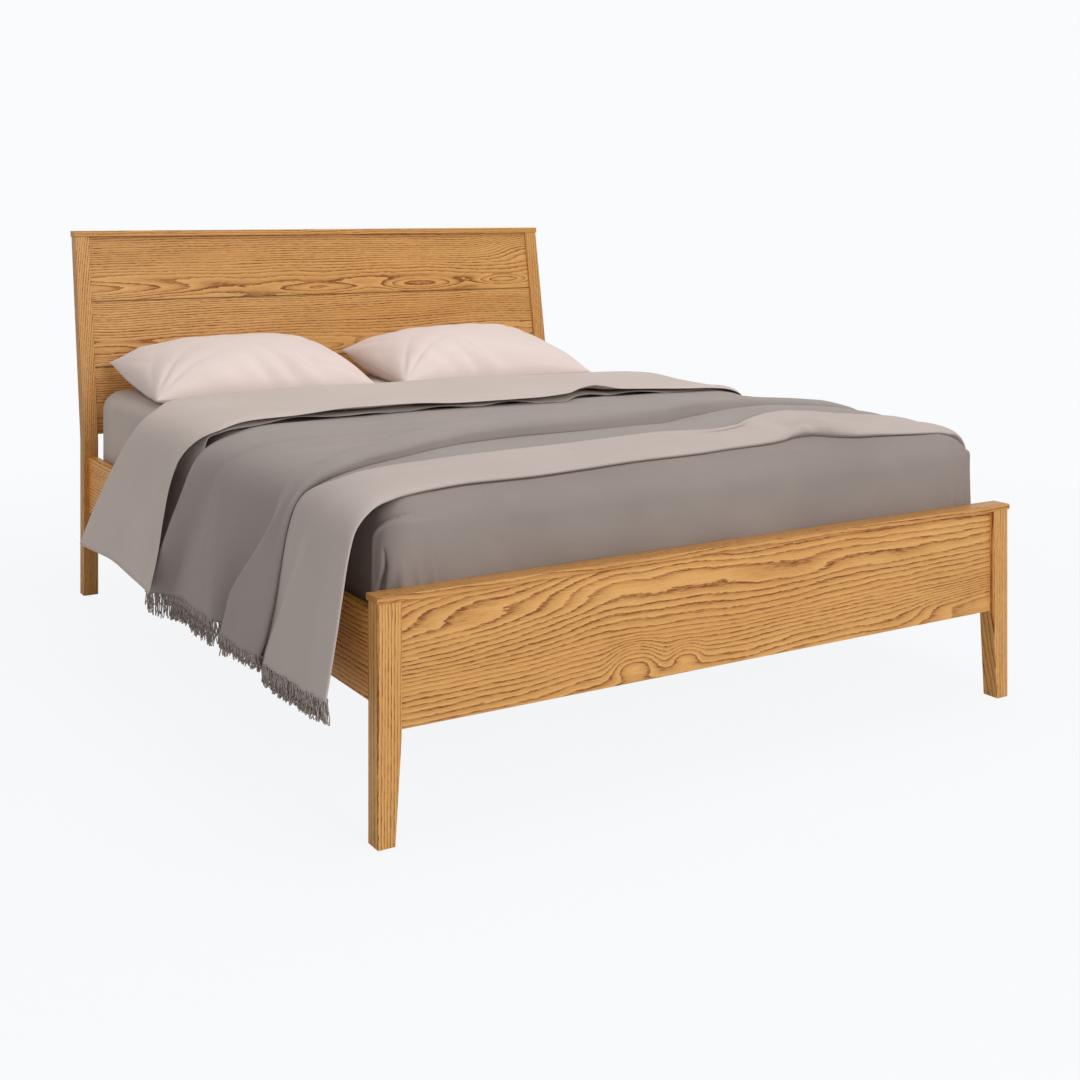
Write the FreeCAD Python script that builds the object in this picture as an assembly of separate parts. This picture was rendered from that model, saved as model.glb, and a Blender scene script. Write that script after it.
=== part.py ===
import FreeCAD, Part
import math
import os
from FreeCAD import Vector

# Panel bed in solid oak for one queen mattress, with its bedding.
# Millimetres. X runs across the bed, +Y points to the head end, +Z is up.
# The origin is on the floor, under the centre of the whole bed.

os.makedirs("parts", exist_ok=True)

# ---- Driving dimensions -------------------------------------------------------------------------

# mattress
mattress_width = 1524.0
mattress_length = 2032.0
mattress_thickness = 275.0
mattress_corner_radius = 70.0
mattress_bevel = 22.0
mattress_side_gap = 22.5        # mattress to side rail, each side
mattress_end_gap = 4.5          # mattress to foot cap and to the head planks

# fits
soft_gap = 0.3                  # soft pieces to whatever they lie on
joint_gap = 0.2                 # tongues and tenons in their grooves and mortises, each face
blind_gap = 1.0                 # past the end of a tenon, tongue, dowel or bolt
hardware_gap = 0.05             # round screws, dowels, bolts and let-in plates

# edges
eased_edge = 3.0
light_edge = 1.5
least_upright = 20.0            # shorter rises aren't upright edges
seam_chamfer = 1.2
cap_edge = 2.0
cap_end_bevel = 0.8

# floor glides
glide_radius = 11.0
glide_thickness = 3.0
glide_sides = 16
glide_pin_radius = 1.5
glide_pin_length = 14.0

# side rails
rail_height = 168.0
rail_thickness = 25.0
rail_bottom = 251.0
rail_inset = 15.5               # rail face set back from the outer face of leg and post

# foot end
leg_width = 49.0
leg_depth = 44.0
leg_foot_width = 36.0
leg_taper_height = 203.0
foot_panel_bottom = 210.0
foot_panel_height = 239.0
foot_panel_thickness = 20.0
foot_panel_recess = 12.0
foot_cap_thickness = 13.0
foot_cap_overhang = 3.0

# head end
post_width = 44.0
post_depth = 43.0
post_kink_height = 469.0
post_rake = 10.0                # degrees back from upright
post_height = 1080.0
plank_names = ("lower", "middle", "upper")
plank_thickness = 20.0
plank_recess = 9.0
plank_bottom = 485.0
head_cap_thickness = 18.0
head_cap_overhang = 2.0
cross_rail_height = 144.0
cross_rail_thickness = 22.0
cross_rail_recess = 12.0

# tenons, tongues and dowels
tenon_length = 12.0
tenon_shoulder = 4.0
plank_tongue_thickness = 10.0
plank_tongue_length = 10.0
seam_tongue_thickness = 6.0
seam_tongue_length = 8.0
head_dowel_radius = 4.0
head_dowel_in_cap = 12.0
head_dowel_below_cap = 26.0
head_dowel_count = 5            # along the upper plank
foot_dowel_radius = 3.0
foot_dowel_in_cap = 8.0
foot_dowel_below_cap = 22.0
foot_dowel_count = 5            # along the foot panel

# slatted deck
deck_drop = 84.0                # top of the slats below the top of the rails
slat_count = 15
slat_width = 70.0
slat_thickness = 18.0
slat_end_gap = 2.0
slat_margin = 12.0              # first and last slat from leg and post
tape_width = 30.0
tape_thickness = 1.0
tape_offset = 480.0             # tape centre from the middle of the bed
ledger_width = 28.0
ledger_height = 40.0
ledger_end_gap = 5.0
beam_width = 38.0
beam_height = 64.0
beam_end_gap = 1.0
centre_leg_size = 40.0
centre_leg_spread = 340.0       # each centre leg from the middle of the rails

# beam hangers, bent from steel strip
hanger_steel = 2.0
hanger_reach = 45.0
hanger_flange = 26.0
hanger_screw_margin = 13.0      # from the top and bottom of the flange
hanger_gap = 0.4

# hook fittings between rail and leg
plate_width = 16.0
plate_height = 110.0
plate_thickness = 3.0
hook_thickness = 4.0
hook_neck_height = 12.0
hook_drop = 10.0
hook_spacing = 52.0
hook_gap = 0.3
hook_pocket_depth = 10.0
plate_screw_spacing = 96.0

# screws and bolts: shank radius, head radius, length
plate_screw = (1.8, 3.6, 15.0)
ledger_screw = (2.2, 4.4, 45.0)
slat_screw = (2.0, 4.0, 32.0)
hanger_screw = (2.0, 4.0, 14.0)
ledger_screw_count = 6
ledger_screw_height = 13.0      # above the bottom of the ledger
ledger_screw_margin = 120.0
leg_bolt_radius = 4.0
leg_bolt_length = 60.0

# bedding
fitted_sheet_thickness = 2.0
pillow_length = 752.0
pillow_depth = 500.0
pillow_thickness = 163.0
pillow_front_seam = 40.0        # seam above the sheet
pillow_back_seam = 108.0
pillow_side_seam = 74.0
pillow_fullness = 2.4           # higher is squarer
pillow_facets = 12
pillow_front_toe = 70.0         # underside lifts off this far in from the seam
pillow_back_toe = 190.0
pillow_side_toe = 75.0
pillow_gap = 6.0                # between the two pillows
pillow_head_gap = 27.0          # pillow to the head planks
cover_thickness = 8.0
cover_shoulder_radius = 90.0
throw_hem_height = 270.0
throw_hem_out = 80.0            # hem out from the outer face of the legs
throw_flare = 12.0              # degrees that the drop leans out
throw_start_left = 55.0         # foot-side edge from the foot end of the mattress
throw_start_right = 190.0
throw_loft = 24.0               # doubled cloth over the mattress
sheet_hem_height = 258.0
sheet_hem_out = 110.0
sheet_flare = 15.0
sheet_band = 506.0              # turned-back sheet, from its foot side to its head side
sheet_pillow_gap = 57.0
sheet_loft = 38.0
cover_gap = 12.0                # between the throw and the turned-back sheet
fringe_length = 36.0
fringe_thickness = 5.0

# ---- Derived places -------------------------------------------------------------------------------

rail_clear = mattress_width + 2 * mattress_side_gap
overall_width = rail_clear + 2 * rail_thickness + 2 * rail_inset
half_width = overall_width / 2
rail_top = rail_bottom + rail_height
rail_length = foot_cap_overhang + mattress_length + 2 * mattress_end_gap - plank_recess

rake = math.radians(post_rake)
rake_run = (post_height - post_kink_height) * math.tan(rake)
overall_length = (foot_cap_overhang + leg_depth + rail_length + post_depth + rake_run
                  + head_cap_overhang)
leg_front = -overall_length / 2 + foot_cap_overhang
leg_back = leg_front + leg_depth
post_front = leg_back + rail_length
post_back = post_front + post_depth
rail_middle = (leg_back + post_front) / 2

leg_inner = half_width - leg_width
post_inner = half_width - post_width
rail_inner = rail_clear / 2
rail_outer = rail_inner + rail_thickness
rail_centre = (rail_inner + rail_outer) / 2

foot_panel_front = leg_front + foot_panel_recess
foot_panel_back = foot_panel_front + foot_panel_thickness
foot_panel_top = foot_panel_bottom + foot_panel_height
cross_rail_front = post_front + cross_rail_recess
cross_rail_back = cross_rail_front + cross_rail_thickness

deck_top = rail_top - deck_drop
ledger_top = deck_top - slat_thickness
beam_bottom = ledger_top - beam_height
mattress_bottom = deck_top + tape_thickness + soft_gap
mattress_top = mattress_bottom + mattress_thickness
mattress_foot = leg_back + foot_cap_overhang + mattress_end_gap
mattress_head = mattress_foot + mattress_length
sheet_top = mattress_top + soft_gap + fitted_sheet_thickness
cover_bottom = sheet_top + soft_gap
throw_hem_reach = half_width + throw_hem_out
sheet_hem_reach = half_width + sheet_hem_out

solids = {}


# ---- Helpers --------------------------------------------------------------------------------------

def box(x0, x1, y0, y1, z0, z1):
    """Box between two corners."""
    return Part.makeBox(x1 - x0, y1 - y0, z1 - z0, Vector(x0, y0, z0))


def prism(points, direction):
    """Closed outline of points, extruded along a vector."""
    return Part.Face(Part.makePolygon(points + points[:1])).extrude(direction)


def eased(shape, radius, wanted):
    """Round the edges that the test picks by their two end points."""
    edges = [e for e in shape.Edges if wanted(e.firstVertex().Point, e.lastVertex().Point)]
    return shape.makeFillet(radius, edges)


def bevelled(shape, size, wanted):
    """Chamfer the edges that the test picks by their two end points."""
    edges = [e for e in shape.Edges if wanted(e.firstVertex().Point, e.lastVertex().Point)]
    return shape.makeChamfer(size, edges)


def along_x(a, b):
    return abs(a.y - b.y) < 0.01 and abs(a.z - b.z) < 0.01


def along_y(a, b):
    return abs(a.x - b.x) < 0.01 and abs(a.z - b.z) < 0.01


def upright(a, b):
    return abs(a.z - b.z) > least_upright


def level_at(height):
    return lambda a, b: abs(a.z - height) < 0.01 and abs(b.z - height) < 0.01


def softened_strip(strip):
    """Cap strip with rounded long edges and lightly broken ends."""
    end = strip.BoundBox.XMax
    strip = eased(strip, cap_edge, along_x)
    return bevelled(strip, cap_end_bevel, lambda a, b: abs(abs(a.x) - end) + abs(abs(b.x) - end) < 0.01)


def mirrored_x(shape):
    return shape.mirror(Vector(0, 0, 0), Vector(1, 0, 0))


def mirrored_y(shape):
    """Mirror about the middle of the side rails, from the foot end to the head end."""
    return shape.mirror(Vector(0, rail_middle, 0), Vector(0, 1, 0))


def pair(name, right):
    """Keep a right-hand piece and its mirrored left-hand one."""
    solids[name + "_right"] = right
    solids[name + "_left"] = mirrored_x(right)


def ring(centre, direction, radius, sides=8):
    """Corners of a regular polygon round a centre, square to a direction along an axis."""
    side = Vector(direction.y, direction.z, direction.x)
    other = direction.cross(side)
    turns = [2 * math.pi * i / sides for i in range(sides)]
    return [centre + side * radius * math.cos(t) + other * radius * math.sin(t) for t in turns]


def rod(start, direction, radius, length, sides=8):
    """Fluted dowel, pin, disc or shank, with flats round it."""
    return prism(ring(start, direction, radius, sides), direction * length)


def screw(place, direction, sizes, gap=0.0):
    """Countersunk screw with its head flush at place, or with a gap the hole for it."""
    shank, head, length = sizes
    neck = place + direction * (head - shank)
    tip = place + direction * (length + gap)
    loops = [ring(place, direction, head + gap), ring(neck, direction, shank + gap),
             ring(tip, direction, shank + gap)]
    outlines = [loops[0], loops[-1]]
    for low, high in zip(loops, loops[1:]):
        for i in range(len(low)):
            outlines.append([low[i - 1], low[i], high[i], high[i - 1]])
    faces = [Part.Face(Part.makePolygon(points + points[:1])) for points in outlines]
    return Part.makeSolid(Part.makeShell(faces))


def pin(place, radius, below, above, gap=0.0, end_gap=0.0):
    """Upright dowel, bolt or pin through place, or with gaps the hole for it."""
    base = place - Vector(0, 0, below + end_gap)
    return rod(base, Vector(0, 0, 1), radius + gap, below + above + 2 * end_gap)


def spread(first, last, count):
    """Evenly spaced values from first to last."""
    return [first + (last - first) * i / (count - 1) for i in range(count)]


def raked(x, up, back):
    """Point of the raked headboard: up along the post from its kink, back square to its face."""
    y = post_front + up * math.sin(rake) + back * math.cos(rake)
    z = post_kink_height + up * math.cos(rake) - back * math.sin(rake)
    return Vector(x, y, z)


X = Vector(1, 0, 0)
Y = Vector(0, 1, 0)
Z = Vector(0, 0, 1)

# ---- Floor glides: a nylon disc on a pin under each leg ------------------------------------------

leg_foot_centre = Vector(half_width - leg_foot_width / 2, leg_front + leg_depth / 2, glide_thickness)
post_foot_centre = Vector(half_width - post_width / 2, post_front + post_depth / 2, glide_thickness)
centre_feet = [Vector(0, rail_middle + side * centre_leg_spread, glide_thickness) for side in (-1, 1)]
glide_places = centre_feet[:]
for place in (leg_foot_centre, post_foot_centre):
    glide_places += [place, Vector(-place.x, place.y, place.z)]


def glide(place):
    disc = rod(place - Z * glide_thickness, Z, glide_radius, glide_thickness, glide_sides)
    return disc.fuse(pin(place, glide_pin_radius, 0.0, glide_pin_length))


def glide_hole(place):
    return pin(place, glide_pin_radius, 0.0, glide_pin_length, hardware_gap, blind_gap)


solids["floor_glides"] = Part.Compound([glide(place) for place in glide_places])

# ---- Hook fittings: steel plates let into the rail ends and the legs -----------------------------

fitting_height = (rail_bottom + rail_top) / 2
hook_heights = [fitting_height + side * hook_spacing / 2 for side in (-1, 1)]
plate_screw_heights = [fitting_height + side * plate_screw_spacing / 2 for side in (-1, 1)]
hook_reach = plate_thickness + hook_gap + hook_thickness


def plate(y0, y1, gap=0.0):
    """Plate of the fitting at the foot end on the right, or with a gap the recess for it."""
    half = plate_width / 2 + gap
    tall = plate_height / 2 + gap
    return box(rail_centre - half, rail_centre + half, y0, y1, fitting_height - tall, fitting_height + tall)


def slot(bottom, depth, gap):
    """Space in the catch plate or leg that the hook enters and drops into."""
    half = hook_thickness / 2 + gap
    top = bottom + hook_neck_height + hook_drop + 2 * gap
    return box(rail_centre - half, rail_centre + half, leg_back - depth, leg_back, bottom - gap, top)


def hook(bottom):
    """One hook: a neck through the catch plate and a nose that hangs behind it."""
    outline = [
        (leg_back, bottom),
        (leg_back, bottom + hook_neck_height),
        (leg_back - hook_reach, bottom + hook_neck_height),
        (leg_back - hook_reach, bottom - hook_drop),
        (leg_back - hook_reach + hook_thickness, bottom - hook_drop),
        (leg_back - hook_reach + hook_thickness, bottom),
    ]
    points = [Vector(rail_centre - hook_thickness / 2, y, z) for y, z in outline]
    return prism(points, X * hook_thickness)


hook_plate = plate(leg_back, leg_back + plate_thickness)
catch_plate = plate(leg_back - plate_thickness, leg_back)
rail_recess = plate(leg_back - blind_gap, leg_back + plate_thickness + hardware_gap, hardware_gap)
leg_recess = plate(leg_back - plate_thickness - hardware_gap, leg_back + blind_gap, hardware_gap)
fitting_screws = []
for height in plate_screw_heights:
    in_rail = (Vector(rail_centre, leg_back, height), Y)
    in_leg = (Vector(rail_centre, leg_back, height), -Y)
    fitting_screws += [screw(*in_rail, plate_screw), screw(*in_leg, plate_screw)]
    hook_plate = hook_plate.cut(screw(*in_rail, plate_screw, hardware_gap))
    rail_recess = rail_recess.fuse(screw(*in_rail, plate_screw, hardware_gap))
    catch_plate = catch_plate.cut(screw(*in_leg, plate_screw, hardware_gap))
    leg_recess = leg_recess.fuse(screw(*in_leg, plate_screw, hardware_gap))
for height in hook_heights:
    hook_plate = hook_plate.fuse(hook(height)).removeSplitter()
    catch_plate = catch_plate.cut(slot(height, plate_thickness + blind_gap, hook_gap))
    pocket = slot(height - hook_drop, plate_thickness + hook_pocket_depth, 2 * hook_gap)
    leg_recess = leg_recess.fuse(pocket)
    leg_recess = leg_recess.fuse(slot(height, plate_thickness + hook_pocket_depth, 2 * hook_gap))


def at_four_corners(shape):
    right = [shape, mirrored_y(shape)]
    return right + [mirrored_x(s) for s in right]


solids["rail_hook_plates"] = Part.Compound(at_four_corners(hook_plate))
solids["rail_catch_plates"] = Part.Compound(at_four_corners(catch_plate))
solids["rail_fitting_screws"] = Part.Compound(
    [s for one in fitting_screws for s in at_four_corners(one)])

# ---- Foot legs: straight outside, tapered on the inner side below the panel ----------------------

foot_tenon_end = leg_inner + tenon_length
foot_tenon_front = foot_panel_front + tenon_shoulder
foot_tenon_back = foot_panel_back - tenon_shoulder
foot_dowel_y = (foot_panel_front + foot_panel_back) / 2
leg_dowel = Vector(leg_inner + leg_width / 2, foot_dowel_y, foot_panel_top)


def foot_dowel(place, gap=0.0, end_gap=0.0):
    return pin(place, foot_dowel_radius, foot_dowel_below_cap, foot_dowel_in_cap, gap, end_gap)


leg = prism([
    Vector(half_width, leg_front, glide_thickness),
    Vector(half_width, leg_front, foot_panel_top),
    Vector(leg_inner, leg_front, foot_panel_top),
    Vector(leg_inner, leg_front, leg_taper_height),
    Vector(half_width - leg_foot_width, leg_front, glide_thickness),
], Y * leg_depth)
leg = eased(leg, eased_edge, upright)
leg = leg.cut(box(
    leg_inner - blind_gap, foot_tenon_end + blind_gap,
    foot_tenon_front - joint_gap, foot_tenon_back + joint_gap,
    foot_panel_bottom + tenon_shoulder - joint_gap, foot_panel_top - tenon_shoulder + joint_gap))
leg = leg.cut(leg_recess)
leg = leg.cut(glide_hole(leg_foot_centre))
leg = leg.cut(foot_dowel(leg_dowel, hardware_gap, blind_gap))
pair("foot_leg", leg)

# ---- Foot panel: one board tenoned into both legs ------------------------------------------------

panel = box(-leg_inner, leg_inner, foot_panel_front, foot_panel_back, foot_panel_bottom, foot_panel_top)
panel = eased(panel, light_edge, lambda a, b: along_x(a, b) and abs(a.z - foot_panel_bottom) < 0.01)
panel = panel.fuse(box(
    -foot_tenon_end, foot_tenon_end, foot_tenon_front, foot_tenon_back,
    foot_panel_bottom + tenon_shoulder, foot_panel_top - tenon_shoulder)).removeSplitter()
panel_dowels = [Vector(x, foot_dowel_y, foot_panel_top)
                for x in spread(-leg_inner + leg_width, leg_inner - leg_width, foot_dowel_count)]
for place in panel_dowels:
    panel = panel.cut(foot_dowel(place, hardware_gap, blind_gap))

# ---- Foot cap: a flat strip over legs and panel, held by dowels ----------------------------------

foot_cap = box(
    -half_width - foot_cap_overhang, half_width + foot_cap_overhang,
    leg_front - foot_cap_overhang, leg_back + foot_cap_overhang,
    foot_panel_top, foot_panel_top + foot_cap_thickness)
foot_cap = softened_strip(foot_cap)
foot_dowel_places = panel_dowels + [leg_dowel, Vector(-leg_dowel.x, leg_dowel.y, leg_dowel.z)]
for place in foot_dowel_places:
    foot_cap = foot_cap.cut(foot_dowel(place, hardware_gap, blind_gap))
solids["foot_cap_rail"] = foot_cap
solids["foot_cap_dowels"] = Part.Compound([foot_dowel(place) for place in foot_dowel_places])

# ---- Head posts: upright to the kink, then raked back, with a groove for the planks -------------

post_profile = [
    (post_front, glide_thickness),
    (post_back, glide_thickness),
    (post_back, post_kink_height),
    (post_back + rake_run, post_height),
    (post_front + rake_run, post_height),
    (post_front, post_kink_height),
]
plank_count = len(plank_names)
plank_front = plank_recess
plank_back = plank_recess + plank_thickness
plank_start = (plank_bottom - post_kink_height + plank_front * math.sin(rake)) / math.cos(rake)
plank_end = (post_height - post_kink_height + plank_front * math.sin(rake)) / math.cos(rake)
plank_height = (plank_end - plank_start) / plank_count
tongue_front = (plank_front + plank_back - plank_tongue_thickness) / 2
tongue_back = tongue_front + plank_tongue_thickness
beyond_top = plank_end + post_depth
above_post = box(-half_width, half_width, post_front, post_back + 2 * rake_run, post_height, 2 * post_height)


def head_dowel(place, gap=0.0, end_gap=0.0):
    return pin(place, head_dowel_radius, head_dowel_below_cap, head_dowel_in_cap, gap, end_gap)


def at_top(back):
    """Distance along Y of the raked line that lies that far back, half a dowel below the cap."""
    height = post_height - head_dowel_below_cap / 2 - post_kink_height
    return post_front + back / math.cos(rake) + height * math.tan(rake)


post_dowel = Vector(half_width - post_width / 2, at_top(post_depth * math.cos(rake) / 2), post_height)
post = prism([Vector(post_inner, y, z) for y, z in post_profile], X * post_width)
post = eased(post, eased_edge, upright)
post = post.cut(prism([
    raked(post_inner - blind_gap, plank_start - joint_gap, tongue_front - joint_gap),
    raked(post_inner - blind_gap, plank_start - joint_gap, tongue_back + joint_gap),
    raked(post_inner - blind_gap, beyond_top, tongue_back + joint_gap),
    raked(post_inner - blind_gap, beyond_top, tongue_front - joint_gap),
], X * (plank_tongue_length + 2 * blind_gap)))
post = post.cut(box(
    post_inner - blind_gap, post_inner + tenon_length + blind_gap,
    cross_rail_front + tenon_shoulder - joint_gap, cross_rail_back - tenon_shoulder + joint_gap,
    rail_bottom + tenon_shoulder - joint_gap,
    rail_bottom + cross_rail_height - tenon_shoulder + joint_gap))
post = post.cut(mirrored_y(leg_recess))
post = post.cut(glide_hole(post_foot_centre))
post = post.cut(head_dowel(post_dowel, hardware_gap, blind_gap))
pair("head_post", post)

# ---- Head planks: three boards, tongued together, with a fine V at each seam --------------------

seam_front = (plank_front + plank_back - seam_tongue_thickness) / 2
seam_back = seam_front + seam_tongue_thickness


def plank_outline(index):
    """Section of one plank as (up, back) points, groove below and tongue above."""
    low = plank_start + index * plank_height
    high = low + plank_height
    lowest = index == 0
    highest = index == plank_count - 1
    bottom = [(low + seam_chamfer, plank_front), (low, plank_front + seam_chamfer)]
    if not lowest:
        roof = low + seam_tongue_length + blind_gap
        bottom += [(low, seam_front - joint_gap), (roof, seam_front - joint_gap),
                   (roof, seam_back + joint_gap), (low, seam_back + joint_gap)]
    bottom += [(low, plank_back - seam_chamfer), (low + seam_chamfer, plank_back)]
    if highest:
        return bottom + [(beyond_top, plank_back), (beyond_top, plank_front)]
    return bottom + [
        (high - seam_chamfer, plank_back), (high, plank_back - seam_chamfer),
        (high, seam_back), (high + seam_tongue_length, seam_back),
        (high + seam_tongue_length, seam_front), (high, seam_front),
        (high, plank_front + seam_chamfer), (high - seam_chamfer, plank_front),
    ]


def plank(index):
    outline = plank_outline(index)
    board = prism([raked(-post_inner, up, back) for up, back in outline], X * 2 * post_inner)
    low = plank_start + index * plank_height
    high = beyond_top if index == plank_count - 1 else low + plank_height
    reach = post_inner + plank_tongue_length
    roof = low + seam_tongue_length + blind_gap if index else low
    corners = [(roof, tongue_front), (roof, tongue_back), (high, tongue_back), (high, tongue_front)]
    tongue = prism([raked(-reach, up, back) for up, back in corners], X * 2 * reach)
    return board.fuse(tongue).cut(above_post).removeSplitter()


planks = [plank(index) for index in range(plank_count)]
plank_dowel_y = at_top((plank_front + plank_back) / 2)
plank_dowels = [Vector(x, plank_dowel_y, post_height)
                for x in spread(-post_inner + post_width, post_inner - post_width, head_dowel_count)]
for place in plank_dowels:
    planks[-1] = planks[-1].cut(head_dowel(place, hardware_gap, blind_gap))
for name, board in zip(plank_names, planks):
    solids[f"head_plank_{name}"] = board

# ---- Head cap: a level strip over posts and planks, held by dowels -------------------------------

head_cap = box(
    -half_width - head_cap_overhang, half_width + head_cap_overhang,
    post_front + rake_run - head_cap_overhang, post_back + rake_run + head_cap_overhang,
    post_height, post_height + head_cap_thickness)
head_cap = softened_strip(head_cap)
head_dowel_places = plank_dowels + [post_dowel, Vector(-post_dowel.x, post_dowel.y, post_dowel.z)]
for place in head_dowel_places:
    head_cap = head_cap.cut(head_dowel(place, hardware_gap, blind_gap))
solids["head_cap_rail"] = head_cap
solids["head_cap_dowels"] = Part.Compound([head_dowel(place) for place in head_dowel_places])

# ---- Cross rail between the head posts, under the planks -----------------------------------------

cross_rail = box(-post_inner, post_inner, cross_rail_front, cross_rail_back,
                 rail_bottom, rail_bottom + cross_rail_height)
cross_rail = eased(cross_rail, light_edge, along_x)
cross_rail = cross_rail.fuse(box(
    -post_inner - tenon_length, post_inner + tenon_length,
    cross_rail_front + tenon_shoulder, cross_rail_back - tenon_shoulder,
    rail_bottom + tenon_shoulder, rail_bottom + cross_rail_height - tenon_shoulder)).removeSplitter()

# ---- Side rails with their ledgers ---------------------------------------------------------------

ledger_inner = rail_inner - ledger_width
ledger_bottom = ledger_top - ledger_height
side_rail = box(rail_inner, rail_outer, leg_back, post_front, rail_bottom, rail_top)
side_rail = eased(side_rail, eased_edge, along_y)
side_rail = side_rail.cut(rail_recess).cut(mirrored_y(rail_recess))
ledger = box(ledger_inner, rail_inner, leg_back + ledger_end_gap, post_front - ledger_end_gap,
             ledger_bottom, ledger_top)
ledger = eased(ledger, light_edge, lambda a, b: along_y(a, b) and abs(a.x - ledger_inner) < 0.01)
ledger_screws = []
screw_rows = spread(leg_back + ledger_screw_margin, post_front - ledger_screw_margin, ledger_screw_count)
for y in screw_rows:
    place = Vector(ledger_inner, y, ledger_bottom + ledger_screw_height)
    ledger_screws.append(screw(place, X, ledger_screw))
    ledger = ledger.cut(screw(place, X, ledger_screw, hardware_gap))
    side_rail = side_rail.cut(screw(place, X, ledger_screw, hardware_gap))
pair("side_rail", side_rail)
solids["ledger_screws"] = Part.Compound(ledger_screws + [mirrored_x(s) for s in ledger_screws])

# ---- Slats, tied by two tapes, the first and last screwed to the ledgers -------------------------

slat_half = rail_inner - slat_end_gap
slat_rows = spread(leg_back + slat_margin + slat_width / 2, post_front - slat_margin - slat_width / 2,
                   slat_count)
slat_screws = []
slat_screw_x = rail_inner - ledger_width / 2
for number, y in enumerate(slat_rows, 1):
    slat = box(-slat_half, slat_half, y - slat_width / 2, y + slat_width / 2, ledger_top, deck_top)
    slat = bevelled(slat, light_edge, lambda a, b: along_x(a, b) and abs(a.z - deck_top) < 0.01)
    if number in (1, slat_count):
        for x in (-slat_screw_x, slat_screw_x):
            place = Vector(x, y, deck_top)
            slat_screws.append(screw(place, -Z, slat_screw))
            slat = slat.cut(screw(place, -Z, slat_screw, hardware_gap))
            ledger = ledger.cut(screw(place, -Z, slat_screw, hardware_gap))
    solids[f"slat_{number:02d}"] = slat
pair("slat_ledger", ledger)
solids["slat_screws"] = Part.Compound(slat_screws)
pair("slat_tape", box(
    tape_offset - tape_width / 2, tape_offset + tape_width / 2,
    slat_rows[0] - slat_width / 2, slat_rows[-1] + slat_width / 2,
    deck_top, deck_top + tape_thickness))

# ---- Centre beam in its hangers, on two legs -----------------------------------------------------

beam_half = beam_width / 2
beam = box(-beam_half, beam_half, foot_panel_back + beam_end_gap, cross_rail_front - beam_end_gap,
           beam_bottom, ledger_top)
beam = eased(beam, light_edge, lambda a, b: along_y(a, b) and abs(a.z - beam_bottom) < 0.01)
half_bolt = leg_bolt_length / 2
leg_bolts = []
for place, name in zip(centre_feet, ("foot", "head")):
    top = Vector(place.x, place.y, beam_bottom)
    half = centre_leg_size / 2
    centre_leg = box(-half, half, place.y - half, place.y + half, glide_thickness, beam_bottom)
    centre_leg = eased(centre_leg, light_edge, upright)
    bolt_hole = pin(top, leg_bolt_radius, half_bolt, half_bolt, hardware_gap, blind_gap)
    solids[f"centre_leg_{name}"] = centre_leg.cut(bolt_hole).cut(glide_hole(place))
    leg_bolts.append(pin(top, leg_bolt_radius, half_bolt, half_bolt))
    beam = beam.cut(bolt_hole)
solids["centre_beam"] = beam
solids["centre_leg_bolts"] = Part.Compound(leg_bolts)


def hanger(face, reach):
    """Steel stirrup on a face across the bed: two flanges, two cheeks and a seat for the beam."""
    inner = beam_half + hanger_gap
    outer = inner + hanger_steel
    wide = outer + hanger_flange
    low = beam_bottom - hanger_steel
    near, far = sorted((face, face + reach))
    front, back = sorted((face, face + math.copysign(hanger_steel, reach)))
    seat = box(-outer, outer, near, far, low, beam_bottom)
    steel = seat
    for x0, x1, x2 in ((inner, outer, wide), (-outer, -inner, -inner - hanger_flange - hanger_steel)):
        flange_low, flange_high = sorted((x0 if x0 > 0 else x1, x2))
        steel = steel.fuse(box(x0, x1, near, far, low, ledger_top))
        steel = steel.fuse(box(flange_low, flange_high, front, back, low, ledger_top))
    return steel.removeSplitter()


flange_screw_x = beam_half + hanger_gap + hanger_steel + hanger_flange / 2
flange_screw_heights = [beam_bottom + hanger_screw_margin, ledger_top - hanger_screw_margin]
hangers = {
    "foot": hanger(foot_panel_back, hanger_reach),
    "head": hanger(cross_rail_front, -hanger_reach),
}
hanger_screws = []
for x in (-flange_screw_x, flange_screw_x):
    for z in flange_screw_heights:
        at_foot = (Vector(x, foot_panel_back + hanger_steel, z), -Y)
        at_head = (Vector(x, cross_rail_front - hanger_steel, z), Y)
        hanger_screws += [screw(*at_foot, hanger_screw), screw(*at_head, hanger_screw)]
        foot_hole = screw(*at_foot, hanger_screw, hardware_gap)
        head_hole = screw(*at_head, hanger_screw, hardware_gap)
        hangers["foot"] = hangers["foot"].cut(foot_hole)
        hangers["head"] = hangers["head"].cut(head_hole)
        panel = panel.cut(foot_hole)
        cross_rail = cross_rail.cut(head_hole)
solids["foot_panel"] = panel
solids["head_cross_rail"] = cross_rail
solids["beam_hanger_foot"] = hangers["foot"]
solids["beam_hanger_head"] = hangers["head"]
solids["hanger_screws"] = Part.Compound(hanger_screws)


# ---- Mattress and fitted sheet -------------------------------------------------------------------

def mattress_block(grow, low, high):
    """Mattress shape grown by a gap on its sides and top."""
    block = box(
        -mattress_width / 2 - grow, mattress_width / 2 + grow,
        mattress_foot - grow, mattress_head + grow, low, high)
    block = eased(block, mattress_corner_radius + grow, upright)
    return bevelled(block, mattress_bevel, level_at(high))


mattress = mattress_block(0.0, mattress_bottom, mattress_top)
mattress = bevelled(mattress, mattress_bevel, level_at(mattress_bottom))
solids["mattress"] = mattress
sheet_outside = mattress_block(soft_gap + fitted_sheet_thickness, mattress_bottom, sheet_top)
sheet_inside = mattress_block(soft_gap, mattress_bottom - blind_gap, mattress_top + soft_gap)
solids["fitted_sheet"] = sheet_outside.cut(sheet_inside)

# ---- Pillows: crowned, the back seam propped higher than the front one ----------------------------

pillow_back = (post_front + plank_recess + (cover_bottom - post_kink_height) * math.tan(rake)
               - pillow_head_gap)


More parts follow.
